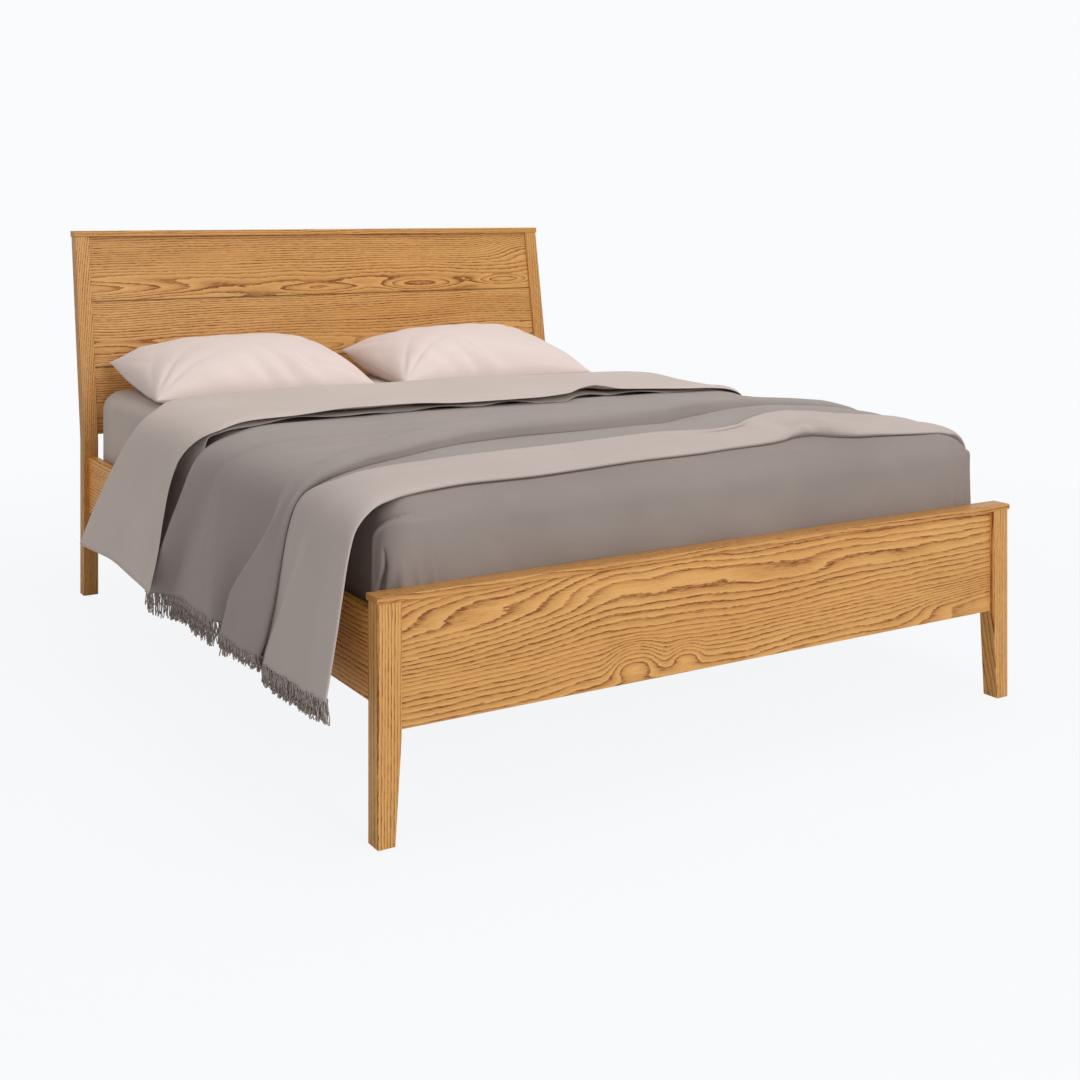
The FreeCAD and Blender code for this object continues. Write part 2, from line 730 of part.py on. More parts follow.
def pillow_section(length, near_seam, far_seam, near_toe, far_toe):
    """Upright section of a pillow as (along, up): flat below, crowned above, thin at both ends."""
    crown = []
    for along in spread(0, length, pillow_facets + 1):
        out = abs(2 * along / length - 1)
        seam = near_seam + (far_seam - near_seam) * along / length
        crown.append((along, seam + (pillow_thickness - seam) * (1 - out ** pillow_fullness)))
    return crown + [(length - far_toe, 0), (near_toe, 0)]


def pillow_bar(section, depth, place):
    """Pillow section extruded to a depth, with place(along, up) giving its points."""
    return prism([place(*p) for p in section], depth)


pillow_left_edge = pillow_gap / 2
pillow_front = pillow_back - pillow_depth
across_section = pillow_section(
    pillow_length, pillow_side_seam, pillow_side_seam, pillow_side_toe, pillow_side_toe)
along_section = pillow_section(
    pillow_depth, pillow_front_seam, pillow_back_seam, pillow_front_toe, pillow_back_toe)
pillow_block = pillow_bar(
    across_section, Y * pillow_depth,
    lambda along, up: Vector(pillow_left_edge + along, pillow_front, cover_bottom + up))
pillow_block = pillow_block.common(pillow_bar(
    along_section, X * pillow_length,
    lambda along, up: Vector(pillow_left_edge, pillow_front + along, cover_bottom + up)))
pair("pillow", pillow_block)


# ---- Covers: a turned-back sheet and a throw, flat on top and hanging at both sides --------------

def cover_side(top, hem_height, hem_reach, flare, radius):
    """Right half of one face of a cover, from the middle of the bed down to the hem."""
    lean = math.tan(math.radians(flare))
    corner = Vector(hem_reach - (top - hem_height) * lean, 0, top)
    turn = math.radians(90.0 - flare)
    cut_back = radius * math.tan(turn / 2)
    on_top = Vector(corner.x - cut_back, 0, top)
    middle = Vector(on_top.x + radius * math.sin(turn / 2), 0, top - radius * (1 - math.cos(turn / 2)))
    on_side = Vector(on_top.x + radius * math.sin(turn), 0, top - radius * (1 - math.cos(turn)))
    return on_top, middle, on_side, Vector(hem_reach, 0, hem_height)


def cover(loft, hem_height, hem_reach, flare, start, end):
    """Cover between two distances along Y, as one arched strip, lofted on top of the mattress."""
    slant = cover_thickness / math.cos(math.radians(flare))
    inner = cover_side(cover_bottom, hem_height, hem_reach - slant, flare, cover_shoulder_radius)
    outer = cover_side(cover_bottom + loft, hem_height, hem_reach, flare, cover_shoulder_radius + loft)
    edges = []
    for points in (inner, outer):
        flip = [Vector(-p.x, p.y, p.z) for p in points]
        edges += [Part.LineSegment(flip[0], points[0]).toShape()]
        for on_top, middle, on_side, hem in (points, flip):
            edges += [Part.Arc(on_top, middle, on_side).toShape(),
                      Part.LineSegment(on_side, hem).toShape()]
    for side in (-1, 1):
        edges.append(Part.LineSegment(Vector(side * inner[3].x, 0, hem_height),
                                      Vector(side * outer[3].x, 0, hem_height)).toShape())
    wire = Part.Wire(Part.sortEdges(edges)[0])
    strip = Part.Face(wire).extrude(Y * (end - start))
    strip.translate(Y * start)
    return strip


sheet_back = pillow_front - sheet_pillow_gap
sheet_front = sheet_back - sheet_band
throw_left = mattress_foot + throw_start_left
throw_right = mattress_foot + throw_start_right
throw_back = sheet_front - cover_gap
throw = cover(throw_loft, throw_hem_height, throw_hem_reach, throw_flare, throw_left, throw_back)
askew = prism([
    Vector(-half_width, throw_left, 0),
    Vector(2 * half_width, throw_left, 0),
    Vector(2 * half_width, throw_right, 0),
    Vector(half_width, throw_right, 0),
], Z * post_height)
throw = throw.cut(askew)
solids["throw_blanket"] = throw
solids["top_sheet"] = cover(sheet_loft, sheet_hem_height, sheet_hem_reach, sheet_flare,
                            sheet_front, sheet_back)

fringe_middle = throw_hem_reach - cover_thickness / 2
fringe_low = throw_hem_height - fringe_length
fringes = []
for side, start in ((-1, throw_left), (1, throw_right)):
    strip = box(fringe_middle - fringe_thickness / 2, fringe_middle + fringe_thickness / 2,
                start, throw_back, fringe_low, throw_hem_height)
    fringes.append(strip if side > 0 else mirrored_x(strip))
solids["throw_fringe"] = Part.Compound(fringes)

# ---- Write one file per piece --------------------------------------------------------------------

for name, shape in solids.items():
    shape.exportStep(f"parts/{name}.step")
print(len(solids), "pieces", f"{overall_width:.1f} x {overall_length:.1f}")
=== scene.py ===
import math

import bpy
import numpy as np
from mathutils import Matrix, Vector


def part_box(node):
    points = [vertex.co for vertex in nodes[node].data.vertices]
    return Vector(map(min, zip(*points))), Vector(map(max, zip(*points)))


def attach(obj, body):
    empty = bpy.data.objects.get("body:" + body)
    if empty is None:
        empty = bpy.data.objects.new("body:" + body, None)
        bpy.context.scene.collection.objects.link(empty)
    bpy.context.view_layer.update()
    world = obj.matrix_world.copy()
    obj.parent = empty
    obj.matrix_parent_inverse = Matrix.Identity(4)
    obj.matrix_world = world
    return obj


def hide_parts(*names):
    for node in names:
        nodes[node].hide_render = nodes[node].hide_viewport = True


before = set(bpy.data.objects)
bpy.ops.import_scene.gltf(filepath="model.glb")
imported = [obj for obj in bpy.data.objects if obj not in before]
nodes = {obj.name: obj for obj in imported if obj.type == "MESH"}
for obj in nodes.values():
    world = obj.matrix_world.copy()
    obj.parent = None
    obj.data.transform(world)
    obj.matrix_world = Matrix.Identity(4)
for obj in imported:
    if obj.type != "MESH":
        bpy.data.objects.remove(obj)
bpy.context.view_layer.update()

# ---- Studio ----
# A pale floor that runs into a pale backdrop, one large lamp overhead, one in front of the foot
# end, and a camera at standing height off the left foot corner.

eye = Vector((-1.97008, -3.56954, 1.16655))
eye_turn = math.radians(31.36)
lens = 49.56
lens_shift = (-0.0033, -0.3067)
backdrop_colour = (0.955, 0.963, 0.975, 1.0)
floor_colour = (0.86, 0.87, 0.88, 1.0)
floor_size = 60.0
world_strength = 0.47
soft_colour = (1.0, 0.99, 0.98, 1.0)
floor_drop = 0.0005
# the floor turns into the backdrop from the first distance to the second, by these two shares
floor_fade = (1.4, 3.4, 0.93, 1.0)

camera = bpy.data.objects.new("camera", bpy.data.cameras.new("camera"))
bpy.context.scene.collection.objects.link(camera)
camera.location = eye
camera.rotation_euler = (math.radians(90), 0, -eye_turn)
camera.data.sensor_width = 36.0
camera.data.lens = lens
camera.data.shift_x, camera.data.shift_y = lens_shift
camera.data.clip_end = 200.0
bpy.context.scene.camera = camera
bpy.context.scene.view_settings.view_transform = "Standard"


def feed(socket, value):
    """Set a socket, or link what another node gives into it."""
    if isinstance(value, bpy.types.NodeSocket):
        socket.id_data.links.new(value, socket)
    else:
        socket.default_value = value


def node(tree, kind, *values, out=0, **settings):
    """Add a shader node, fill its inputs in order, and return one of its outputs."""
    made = tree.nodes.new("ShaderNode" + kind)
    for name, value in settings.items():
        setattr(made, name, value)
    for socket, value in zip(made.inputs, values):
        if value is not None:
            feed(socket, value)
    return made.outputs[out]


def new_material(name):
    """Empty material with its output node."""
    material = bpy.data.materials.new(name)
    material.use_nodes = True
    material.node_tree.nodes.clear()
    return material, material.node_tree, material.node_tree.nodes.new("ShaderNodeOutputMaterial")


world = bpy.data.worlds.new("studio")
bpy.context.scene.world = world
world.use_nodes = True
sky = world.node_tree
sky.nodes.clear()
light_path = sky.nodes.new("ShaderNodeLightPath")
seen = node(sky, "Math", light_path.outputs["Is Camera Ray"], light_path.outputs["Is Glossy Ray"],
            operation="MAXIMUM")
seen = node(sky, "Math", seen, light_path.outputs["Is Transmission Ray"], operation="MAXIMUM")
soft_light = node(sky, "Background", soft_colour, world_strength)
plain_back = node(sky, "Background", backdrop_colour, 1.0)
sky_mix = node(sky, "MixShader", seen, soft_light, plain_back)
sky.links.new(sky_mix, sky.nodes.new("ShaderNodeOutputWorld").inputs["Surface"])

bpy.ops.object.select_all(action="DESELECT")
bpy.ops.mesh.primitive_plane_add(size=floor_size, location=(0, 0, -floor_drop))
floor = bpy.context.object
floor.name = "floor"
floor_paint, tree, surface = new_material("studio floor")
path = tree.nodes.new("ShaderNodeLightPath")
spot = node(tree, "NewGeometry")
away = node(tree, "VectorMath", spot, operation="LENGTH", out=1)
far_off = node(tree, "MapRange", away, *floor_fade)
shown = node(tree, "Math", far_off, path.outputs["Is Camera Ray"], operation="MULTIPLY")
matt = node(tree, "BsdfDiffuse", floor_colour)
plain = node(tree, "Emission", backdrop_colour, 1.0)
tree.links.new(node(tree, "MixShader", shown, matt, plain), surface.inputs["Surface"])
floor.data.materials.append(floor_paint)


def softbox(name, place, aim, size, watts):
    """Square lamp that faces a point."""
    lamp = bpy.data.objects.new(name, bpy.data.lights.new(name, "AREA"))
    bpy.context.scene.collection.objects.link(lamp)
    lamp.location = place
    lamp.rotation_euler = (Vector(aim) - Vector(place)).to_track_quat("-Z", "Y").to_euler()
    lamp.data.size = size
    lamp.data.energy = watts


softbox("overhead", (0.7, -0.4, 4.2), (0, 0, 0.4), 2.8, 63)
softbox("front", (0.0, -5.5, 2.4), (0, 0, 0.5), 2.0, 106)

# ---- Oak: foot legs ----
# Two solid oak legs, straight outside and tapered inside below the panel. Sawn oak shows its
# growth rings as dark lines of pores, straight up a leg and in arches on a wide board.

oak_colours = ((0.760, 0.420, 0.136, 1.0), (0.600, 0.290, 0.078, 1.0), (0.235, 0.068, 0.012, 1.0))
X, Y, Z = 0, 1, 2


def tree_of(*values):
    """Node tree of the first value that is a socket."""
    return next(value.id_data for value in values if isinstance(value, bpy.types.NodeSocket))


def maths(operation, a, b=0.0, c=0.0):
    """One step of arithmetic on sockets and numbers."""
    return node(tree_of(a, b, c), "Math", a, b, c, operation=operation)


def times(a, b, plus=None):
    """a times b, with a third value added where it is given."""
    return maths("MULTIPLY", a, b) if plus is None else maths("MULTIPLY_ADD", a, b, plus)


def toned(colour, *shares):
    """Colour with its three parts multiplied by one share, or by a share each."""
    shares = shares * 3 if len(shares) == 1 else shares
    return tuple(min(1.0, part * share) for part, share in zip(colour, shares)) + (1.0,)


def mixed(share, a, b, kind="MIX"):
    """Colour a turned into colour b by a share."""
    made = tree_of(share, a, b).nodes.new("ShaderNodeMix")
    made.data_type = "RGBA"
    made.blend_type = kind
    feed(made.inputs[0], share)
    feed(made.inputs[6], a)
    feed(made.inputs[7], b)
    return made.outputs[2]


def ramp(value, stops, shape="EASE"):
    """Curve of a value, given as (position, result) pairs."""
    made = value.id_data.nodes.new("ShaderNodeValToRGB")
    made.color_ramp.interpolation = shape
    while len(made.color_ramp.elements) < len(stops):
        made.color_ramp.elements.new(0.5)
    for element, (position, result) in zip(made.color_ramp.elements, stops):
        element.position = position
        element.color = (result, result, result, 1.0)
    feed(made.inputs[0], value)
    return made.outputs[0]


def noise(at, scale, detail=2.0, roughness=0.5):
    """Noise from 0 to 1 at a vector."""
    made = at.id_data.nodes.new("ShaderNodeTexNoise")
    feed(made.inputs["Vector"], at)
    made.inputs["Scale"].default_value = scale
    made.inputs["Detail"].default_value = detail
    made.inputs["Roughness"].default_value = roughness
    return made.outputs["Fac"]


def apart(vector):
    """The three parts of a vector."""
    made = vector.id_data.nodes.new("ShaderNodeSeparateXYZ")
    feed(made.inputs[0], vector)
    return made.outputs[:3]


def coat(surface, colour, roughness, height, distance, strength=1.0, **sockets):
    """Shader of a finish: its colour, roughness, and a surface raised and sunk by a height from 0
    to 1. Other sockets are named with _ for a space."""
    tree = surface.id_data
    shader = tree.nodes.new("ShaderNodeBsdfPrincipled")
    feed(shader.inputs["Base Color"], colour)
    feed(shader.inputs["Roughness"], roughness)
    for name, value in sockets.items():
        shader.inputs[name.replace("_", " ")].default_value = value
    bump = tree.nodes.new("ShaderNodeBump")
    bump.inputs["Strength"].default_value = strength
    bump.inputs["Distance"].default_value = distance
    feed(bump.inputs["Height"], height)
    feed(shader.inputs["Normal"], bump.outputs[0])
    tree.links.new(shader.outputs[0], surface.inputs["Surface"])


def finish_node(name, material):
    """Give a CAD piece its finish."""
    nodes[name].data.materials.clear()
    nodes[name].data.materials.append(material)


def wood(piece, kind, colours, along, across, pith, ring=0.0095, slope=0.0, sway=0.010, humps=(), tone=0.0,
         shift=0.0, lines=1.2, gloss=0.42):
    """Finish a CAD piece as sawn timber. Grain runs along one axis; pith is where the tree's middle
    lies across and behind the board, ring the growth of a year, and a hump a place where a branch
    bent the rings, as (along, across, length, width, depth). Colours are pale wood, wood and pores."""
    hump_edge, ring_drift = 1.4, 2.6
    material, tree, surface = new_material(kind + " " + piece.replace("_", " "))
    place = apart(node(tree, "TexCoord", out=3))
    length, width, depth = place[along], place[across], place[3 - along - across]

    def stretched(by_length, by_width, offset):
        """Place in the board, scaled along and across the grain."""
        made = tree.nodes.new("ShaderNodeCombineXYZ")
        moved = maths("ADD", length, offset + shift)
        for socket, value, scale in zip(made.inputs, (moved, width, depth), (by_length, by_width, by_width)):
            feed(socket, times(value, scale))
        return made.outputs[0]

    off_across = maths("SUBTRACT", width, times(length, slope, pith[0]))
    off_deep = maths("SUBTRACT", depth, pith[1])
    radius = maths("SQRT", times(off_across, off_across, times(off_deep, off_deep)))
    for hump_along, hump_across, hump_length, hump_width, hump_depth in humps:
        a = maths("DIVIDE", maths("SUBTRACT", length, hump_along), hump_length)
        b = maths("DIVIDE", maths("SUBTRACT", width, hump_across), hump_width)
        near = maths("POWER", times(a, a, times(b, b)), hump_edge)
        hump = times(maths("EXPONENT", times(near, -1.0)), hump_depth)
        radius = maths("ADD", radius, hump)
    # the rings wander, from the sway of the whole tree down to the raggedness of a line
    for by_length, by_width, offset, reach, detail in (
            (1.9, 3.0, 3.1, 1.6 * sway, 1.0), (5.5, 18.0, 1.3, 0.45 * sway, 2.0),
            (26.0, 120.0, 9.4, 0.17 * ring, 2.0), (60.0, 640.0, 4.9, 0.16 * ring, 1.0)):
        drift = noise(stretched(by_length, by_width, offset), 1.0, detail)
        radius = maths("ADD", radius, times(drift, 2 * reach, -reach))
    uneven = noise(stretched(0.25, 11.0, 5.0), 1.0, 2.0)
    rings = times(uneven, ring_drift, maths("DIVIDE", radius, ring))
    turn = maths("FRACT", rings)
    porous = ramp(turn, [(0.0, 0.0), (0.03, 1.0), (0.17, 0.84), (0.36, 0.26), (0.70, 0.06), (1.0, 0.0)],
                  "LINEAR")
    year = tree.nodes.new("ShaderNodeTexWhiteNoise")
    year.noise_dimensions = "1D"
    feed(year.inputs["W"], maths("FLOOR", rings))

    # pores stand in dashes, stronger in some years and places, with flecks between them
    pores = noise(stretched(42.0, 560.0, 2.2), 1.0, 2.0, 0.6)
    dashes = ramp(pores, [(0.40, 0.0), (0.58, 1.0)])
    strong = ramp(noise(stretched(3.6, 26.0, 6.1), 1.0, 2.0), [(0.28, 0.5), (0.62, 1.0)])
    strong = times(strong, times(year.outputs["Value"], 0.60, 0.62))
    drawn = times(porous, times(dashes, 0.80, 0.42))
    drawn = times(times(drawn, strong), lines)
    flecks = times(ramp(pores, [(0.60, 0.0), (0.78, 1.0)]), 0.26 * lines)
    drawn = maths("MAXIMUM", drawn, flecks)

    # the ground between them is clouded, streaked by fibres and darker after each ring
    fibres = noise(stretched(6.0, 380.0, 4.4), 1.0, 3.0, 0.6)
    clouds = noise(stretched(1.3, 8.0, 8.8), 1.0, 2.0)
    pale = times(fibres, 1.0, times(clouds, 0.8, tone - 0.30))
    late = ramp(turn, [(0.0, 0.10), (0.05, 0.55), (0.45, 0.25), (1.0, 0.0)])
    pale = ramp(maths("SUBTRACT", pale, late), [(0.0, 0.0), (1.0, 1.0)])
    ground = mixed(pale, colours[1], colours[0])
    coat(surface, mixed(drawn, ground, colours[2]), times(drawn, 0.22, gloss),
         times(fibres, 0.35, times(drawn, -1.0)), 0.0003, Specular_IOR_Level=0.35)
    finish_node(piece, material)


def middle(name):
    """Centre of a CAD piece's box."""
    low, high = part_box(name)
    return (low + high) / 2


for number, side in enumerate(("left", "right")):
    leg = middle("foot_leg_" + side)
    wood("foot_leg_" + side, "oak", oak_colours, Z, X, (leg.x + 0.26, leg.y + 0.12),
         ring=0.0052, sway=0.004, shift=2.0 + number)

# ---- Foot panel ----
# One wide flat-sawn board tenoned into both legs: long lines, arches near the left end and low on
# the right, and one swirl round a small knot left of the middle.

panel = middle("foot_panel")
panel_humps = ((-0.78, 0.420, 0.38, 0.120, -0.050), (-0.66, 0.425, 0.14, 0.034, 0.018),
               (-0.25, 0.432, 0.34, 0.046, 0.020), (-0.250, 0.256, 0.060, 0.038, 0.036),
               (-0.122, 0.250, 0.040, 0.026, 0.020), (0.80, 0.246, 0.26, 0.040, 0.044),
               (0.24, 0.345, 0.30, 0.06, -0.014))
wood("foot_panel", "oak", oak_colours, X, Z, (0.66, panel.y + 0.22),
     ring=0.0105, slope=0.02, sway=0.014, shift=0.6, humps=panel_humps)

# ---- Cap rails ----
# Flat strips of solid oak that close the top: over legs and panel at the foot, over posts and planks
# at the head. Each is held by seven dowels.

foot_cap = middle("foot_cap_rail")
# painted shade: the foot cap's oak is darkened all over, its ground toned down too, for the dim light on its
# top
foot_cap_painted_shade_colours = [toned(colour, 0.92, 0.90, 0.86) for colour in oak_colours]
wood("foot_cap_rail", "oak", foot_cap_painted_shade_colours, X, Z, (foot_cap.z + 0.16, foot_cap.y + 0.20),
     ring=0.0062, sway=0.012, tone=-0.04, shift=4.3)
head_cap = middle("head_cap_rail")
wood("head_cap_rail", "oak", oak_colours, X, Z, (head_cap.z - 0.20, head_cap.y + 0.16),
     ring=0.0060, sway=0.008, shift=5.9)

# ---- Head posts ----
# Two solid oak posts, upright to the kink and raked back above it. A stopped groove on the inner
# side takes the planks' tongues.

for number, side in enumerate(("left", "right")):
    post = middle("head_post_" + side)
    wood("head_post_" + side, "oak", oak_colours, Z, X, (post.x + 0.22, post.y - 0.15),
         ring=0.0056, sway=0.004, shift=8.0 + number)

# ---- Head planks and cross rail ----
# Three oak boards, tongued into each other and into the posts, with fine lines above and arches low
# on the face. A plain oak rail runs low between the posts, under the planks.

plank_humps = {"lower": ((-0.74, 0.05, 0.30, 0.030, 0.020), (0.60, 0.04, 0.30, 0.024, 0.022)),
               "middle": ((-0.84, 0.045, 0.42, 0.026, 0.026), (-0.10, 0.03, 0.16, 0.016, 0.014),
                          (0.20, 0.04, 0.10, 0.014, 0.012), (0.62, 0.045, 0.36, 0.024, 0.020)),
               "upper": ((-0.88, 0.035, 0.42, 0.026, 0.026), (-0.02, 0.025, 0.16, 0.014, 0.012),
                         (0.34, 0.030, 0.14, 0.020, 0.022), (0.68, 0.036, 0.10, 0.014, 0.016),
                         (0.80, 0.17, 0.16, 0.06, -0.03))}
seam_width = 0.0028
seam_shade = [(0.0, 0.42), (0.45, 0.80), (1.0, 1.0)]
same_level = 0.0004


def paint_seam_shade(name):
    """Painted shade on the last millimetres of a board's face along both long edges, the seams' shadow."""
    mesh = nodes[name].data
    face = max((face for face in mesh.polygons if face.normal.y < -0.5), key=lambda face: face.area)
    facing = face.normal.copy()
    level = facing.dot(face.center)
    up = Vector((0, facing.z, -facing.y))
    reach = [up.dot(point.co) for point in mesh.vertices if abs(facing.dot(point.co) - level) < same_level]
    tree = mesh.materials[0].node_tree
    shader = next(item for item in tree.nodes if item.type == "BSDF_PRINCIPLED")
    x, y, z = apart(node(tree, "TexCoord", out=3))
    at = times(y, up.y, times(z, up.z))
    near = maths("MINIMUM", maths("SUBTRACT", at, min(reach)),
                 maths("SUBTRACT", max(reach), at))
    # painted shade, darkest at the seam between two boards
    shade = ramp(maths("DIVIDE", near, seam_width), seam_shade)
    plain = shader.inputs["Base Color"].links[0].from_socket
    feed(shader.inputs["Base Color"], mixed(1.0, plain, shade, "MULTIPLY"))


for number, (name, bends) in enumerate(plank_humps.items()):
    low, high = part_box("head_plank_" + name)
    bends = [(along, low.z + up, *rest) for along, up, *rest in bends]
    wood("head_plank_" + name, "oak", oak_colours, X, Z, (low.z + 0.030, low.y - 0.10),
         ring=0.0062, slope=0.006, sway=0.008, humps=bends, shift=1.7 * number, lines=1.4)
    paint_seam_shade("head_plank_" + name)
rail = middle("head_cross_rail")
wood("head_cross_rail", "oak", oak_colours, X, Z, (rail.z + 0.3, rail.y + 0.2), shift=3.3)

# ---- Side rails ----
# Two long oak boards on edge, hooked into the foot legs and the head posts so that the bed comes
# apart. Their colour is painted paler and redder than the rest, painted light that lifts them out of
# the shade under the throw.

# painted light: the rails' oak colours are raised to stand in for light they lack in the throw's shade
rail_painted_light_colours = [toned(colour, 1.28, 1.18, 0.90) for colour in oak_colours]
for number, side in enumerate(("left", "right")):
    rail = middle("side_rail_" + side)
    wood("side_rail_" + side, "oak", rail_painted_light_colours, Y, Z, (rail.z + 0.26, rail.x + 0.10),
         ring=0.0085, slope=0.01, shift=6.0 + number)

# ---- Rail hardware ----
# Stamped plates with hooks let into the rails' ends, slotted catch plates let into legs and posts,
# and the screws that hold them, all bright zinc-plated steel.

zinc_colour = (0.60, 0.615, 0.63, 1.0)


def plated(name, colour, scratch=0.10):
    """Zinc-plated steel: dull mirror, clouded in patches and finely rubbed."""
    material, tree, surface = new_material(name)
    place = node(tree, "TexCoord", out=3)
    clouds = noise(place, 60.0, 3.0, 0.6)
    rubbed = noise(place, 900.0, 2.0, 0.6)
    clouds = noise(place, 60.0, 3.0, 0.6)
    rubbed = noise(place, 900.0, 2.0, 0.6)
    clouded = ramp(clouds, [(0.3, 0.0), (0.7, 1.0)])
    coat(surface, mixed(clouded, toned(colour, 0.78), colour), times(clouds, 0.25, 0.22),
         rubbed, 0.00005, scratch, Metallic=1.0)
    return material


zinc = plated("zinc plate", zinc_colour)
for name in ("rail_hook_plates", "rail_catch_plates", "rail_fitting_screws"):
    finish_node(name, zinc)

# ---- Slatted base ----
# Pine ledgers screwed to the rails carry fifteen planed pine slats, tied together by two cotton
# tapes. The first and last slats are screwed down.

pine_colours = ((0.800, 0.625, 0.370, 1.0), (0.720, 0.520, 0.270, 1.0), (0.520, 0.300, 0.115, 1.0))
tape_colour = (0.72, 0.69, 0.62, 1.0)
pine = {"lines": 0.55, "gloss": 0.55}

for number, side in enumerate(("left", "right")):
    ledger = middle("slat_ledger_" + side)
    wood("slat_ledger_" + side, "pine", pine_colours, Y, Z, (ledger.z + 0.05, ledger.x + 0.03),
         ring=0.0045, sway=0.006, shift=11.0 + number, **pine)
for number in range(1, 16):
    name = f"slat_{number:02d}"
    slat = middle(name)
    wood(name, "pine", pine_colours, X, Y, (slat.y + 0.03 * math.sin(7.0 * number), slat.z - 0.05),
         ring=0.0046, sway=0.008, slope=0.006 * math.cos(5.0 * number), shift=0.9 * number,
         tone=0.10 * math.sin(3.0 * number), **pine)


def woven(name, colour, thread=0.0016, twill=False, fuzz=0.3, uneven=0.10, by_place=False):
    """Cloth: crossing threads raised by bump, a soft sheen, and a faint unevenness in the dye. The
    threads follow the cloth's own UV map, or the place where by_place is set."""
    material, tree, surface = new_material(name)
    place = node(tree, "TexCoord", out=3)
    u, v = apart(place if by_place else node(tree, "TexCoord", out=2))[:2]
    across, down = times(u, 2 * math.pi / thread), times(v, 2 * math.pi / thread)
    if twill:
        height = maths("SINE", times(across, 0.5, down))
        height = times(maths("SINE", across), 0.4, height)
    else:
        height = times(maths("SINE", across), maths("SINE", down))
    height = times(height, 0.5, 0.5)
    slubs = noise(place, 420.0, 2.0, 0.7)
    dye = noise(place, 3.2, 3.0, 0.55)
    tint = mixed(ramp(dye, [(0.32, 0.0), (0.68, 1.0)]), toned(colour, 1.0 - uneven), colour)
    grainy = times(slubs, 0.16, 0.92)
    tint = mixed(1.0, tint, node(tree, "CombineXYZ", grainy, grainy, grainy), "MULTIPLY")
    coat(surface, tint, 0.88, times(slubs, 0.5, height), 0.00018, 0.6, Specular_IOR_Level=0.18,
         Sheen_Weight=fuzz, Sheen_Roughness=0.45, Sheen_Tint=toned(colour, 1.5))
    return material


tape = woven("cotton tape", tape_colour, thread=0.0025, by_place=True)
for side in ("left", "right"):
    finish_node("slat_tape_" + side, tape)
for name in ("ledger_screws", "slat_screws"):
    finish_node(name, zinc)

# ---- Centre beam and legs ----
# A pine beam on edge hangs in two folded steel hangers under the slats, and stands on two square
# pine legs, each held by a bolt.

beam = middle("centre_beam")
wood("centre_beam", "pine", pine_colours, Y, Z, (beam.z + 0.10, beam.x - 0.05),
     ring=0.0048, shift=14.2, **pine)
for number, end in enumerate(("foot", "head")):
    leg = middle("centre_leg_" + end)
    wood("centre_leg_" + end, "pine", pine_colours, Z, X, (leg.x + 0.04, leg.y + 0.06),
         ring=0.0045, sway=0.004, shift=17.0 + number, **pine)
    finish_node("beam_hanger_" + end, zinc)
for name in ("centre_leg_bolts", "hanger_screws"):
    finish_node(name, zinc)

# ---- Dowels and glides ----
# Fluted beech dowels hold the cap rails on legs, posts and boards. A turned nylon glide is driven
# into the underside of every leg and post.

beech_colours = ((0.78, 0.56, 0.35, 1.0), (0.70, 0.47, 0.27, 1.0), (0.50, 0.28, 0.13, 1.0))
nylon_colour = (0.80, 0.77, 0.70, 1.0)

for name in ("head_cap_dowels", "foot_cap_dowels"):
    dowel = middle(name)
    wood(name, "beech", beech_colours, Z, X, (0.05, dowel.y + 0.05),
         ring=0.003, sway=0.002, lines=0.5, gloss=0.5)
nylon, tree, surface = new_material("nylon")
scuffs = noise(node(tree, "TexCoord", out=3), 300.0, 4.0, 0.65)
worn = mixed(ramp(scuffs, [(0.45, 0.0), (0.75, 1.0)]), nylon_colour, toned(nylon_colour, 0.80))
coat(surface, worn, times(scuffs, 0.3, 0.32), scuffs, 0.0001, 0.5, Subsurface_Weight=0.1)
finish_node("floor_glides", nylon)

# ---- Mattress ----
# A sprung queen mattress in quilted knitted ticking, rounded at every edge. It lies loose on the
# slats, inside the rails.

ticking_colour = (0.80, 0.77, 0.71, 1.0)
mattress_round = (0.064, 0.064, 0.052)
mattress_give = np.array((0.0, 0.004, 0.0))
quilt_step = 0.11
knit_step = 2200.0


def points_of(piece):
    """Places of a mesh's points, as rows."""
    places = np.empty(len(piece.data.vertices) * 3)
    piece.data.vertices.foreach_get("co", places)
    return places.reshape(-1, 3)


def move_points(piece, places):
    """Put a mesh's points at places."""
    piece.data.vertices.foreach_set("co", np.asarray(places, float).ravel())
    piece.data.update()


def rounded(places, half, reach):
    """Points of a box moved on to its rounded form, with each axis's own reach of curve."""
    core = np.clip(places, -(half - reach), half - reach)
    off = (places - core) / reach
    far = np.maximum(np.linalg.norm(off, axis=1), 1e-9)
    big = np.max(np.abs(off), axis=1)
    return core + reach * off * (np.minimum(big, 1.0) / far)[:, None]


def fine_cube(name, cuts):
    """Cube from -1 to 1 with its faces divided, to be shaped."""
    bpy.ops.object.select_all(action="DESELECT")
    bpy.ops.mesh.primitive_cube_add(size=2, location=(0, 0, 0))
    piece = bpy.context.object
    piece.name = name
    bpy.ops.object.mode_set(mode="EDIT")
    bpy.ops.mesh.subdivide(number_cuts=cuts)
    bpy.ops.object.mode_set(mode="OBJECT")
    return piece


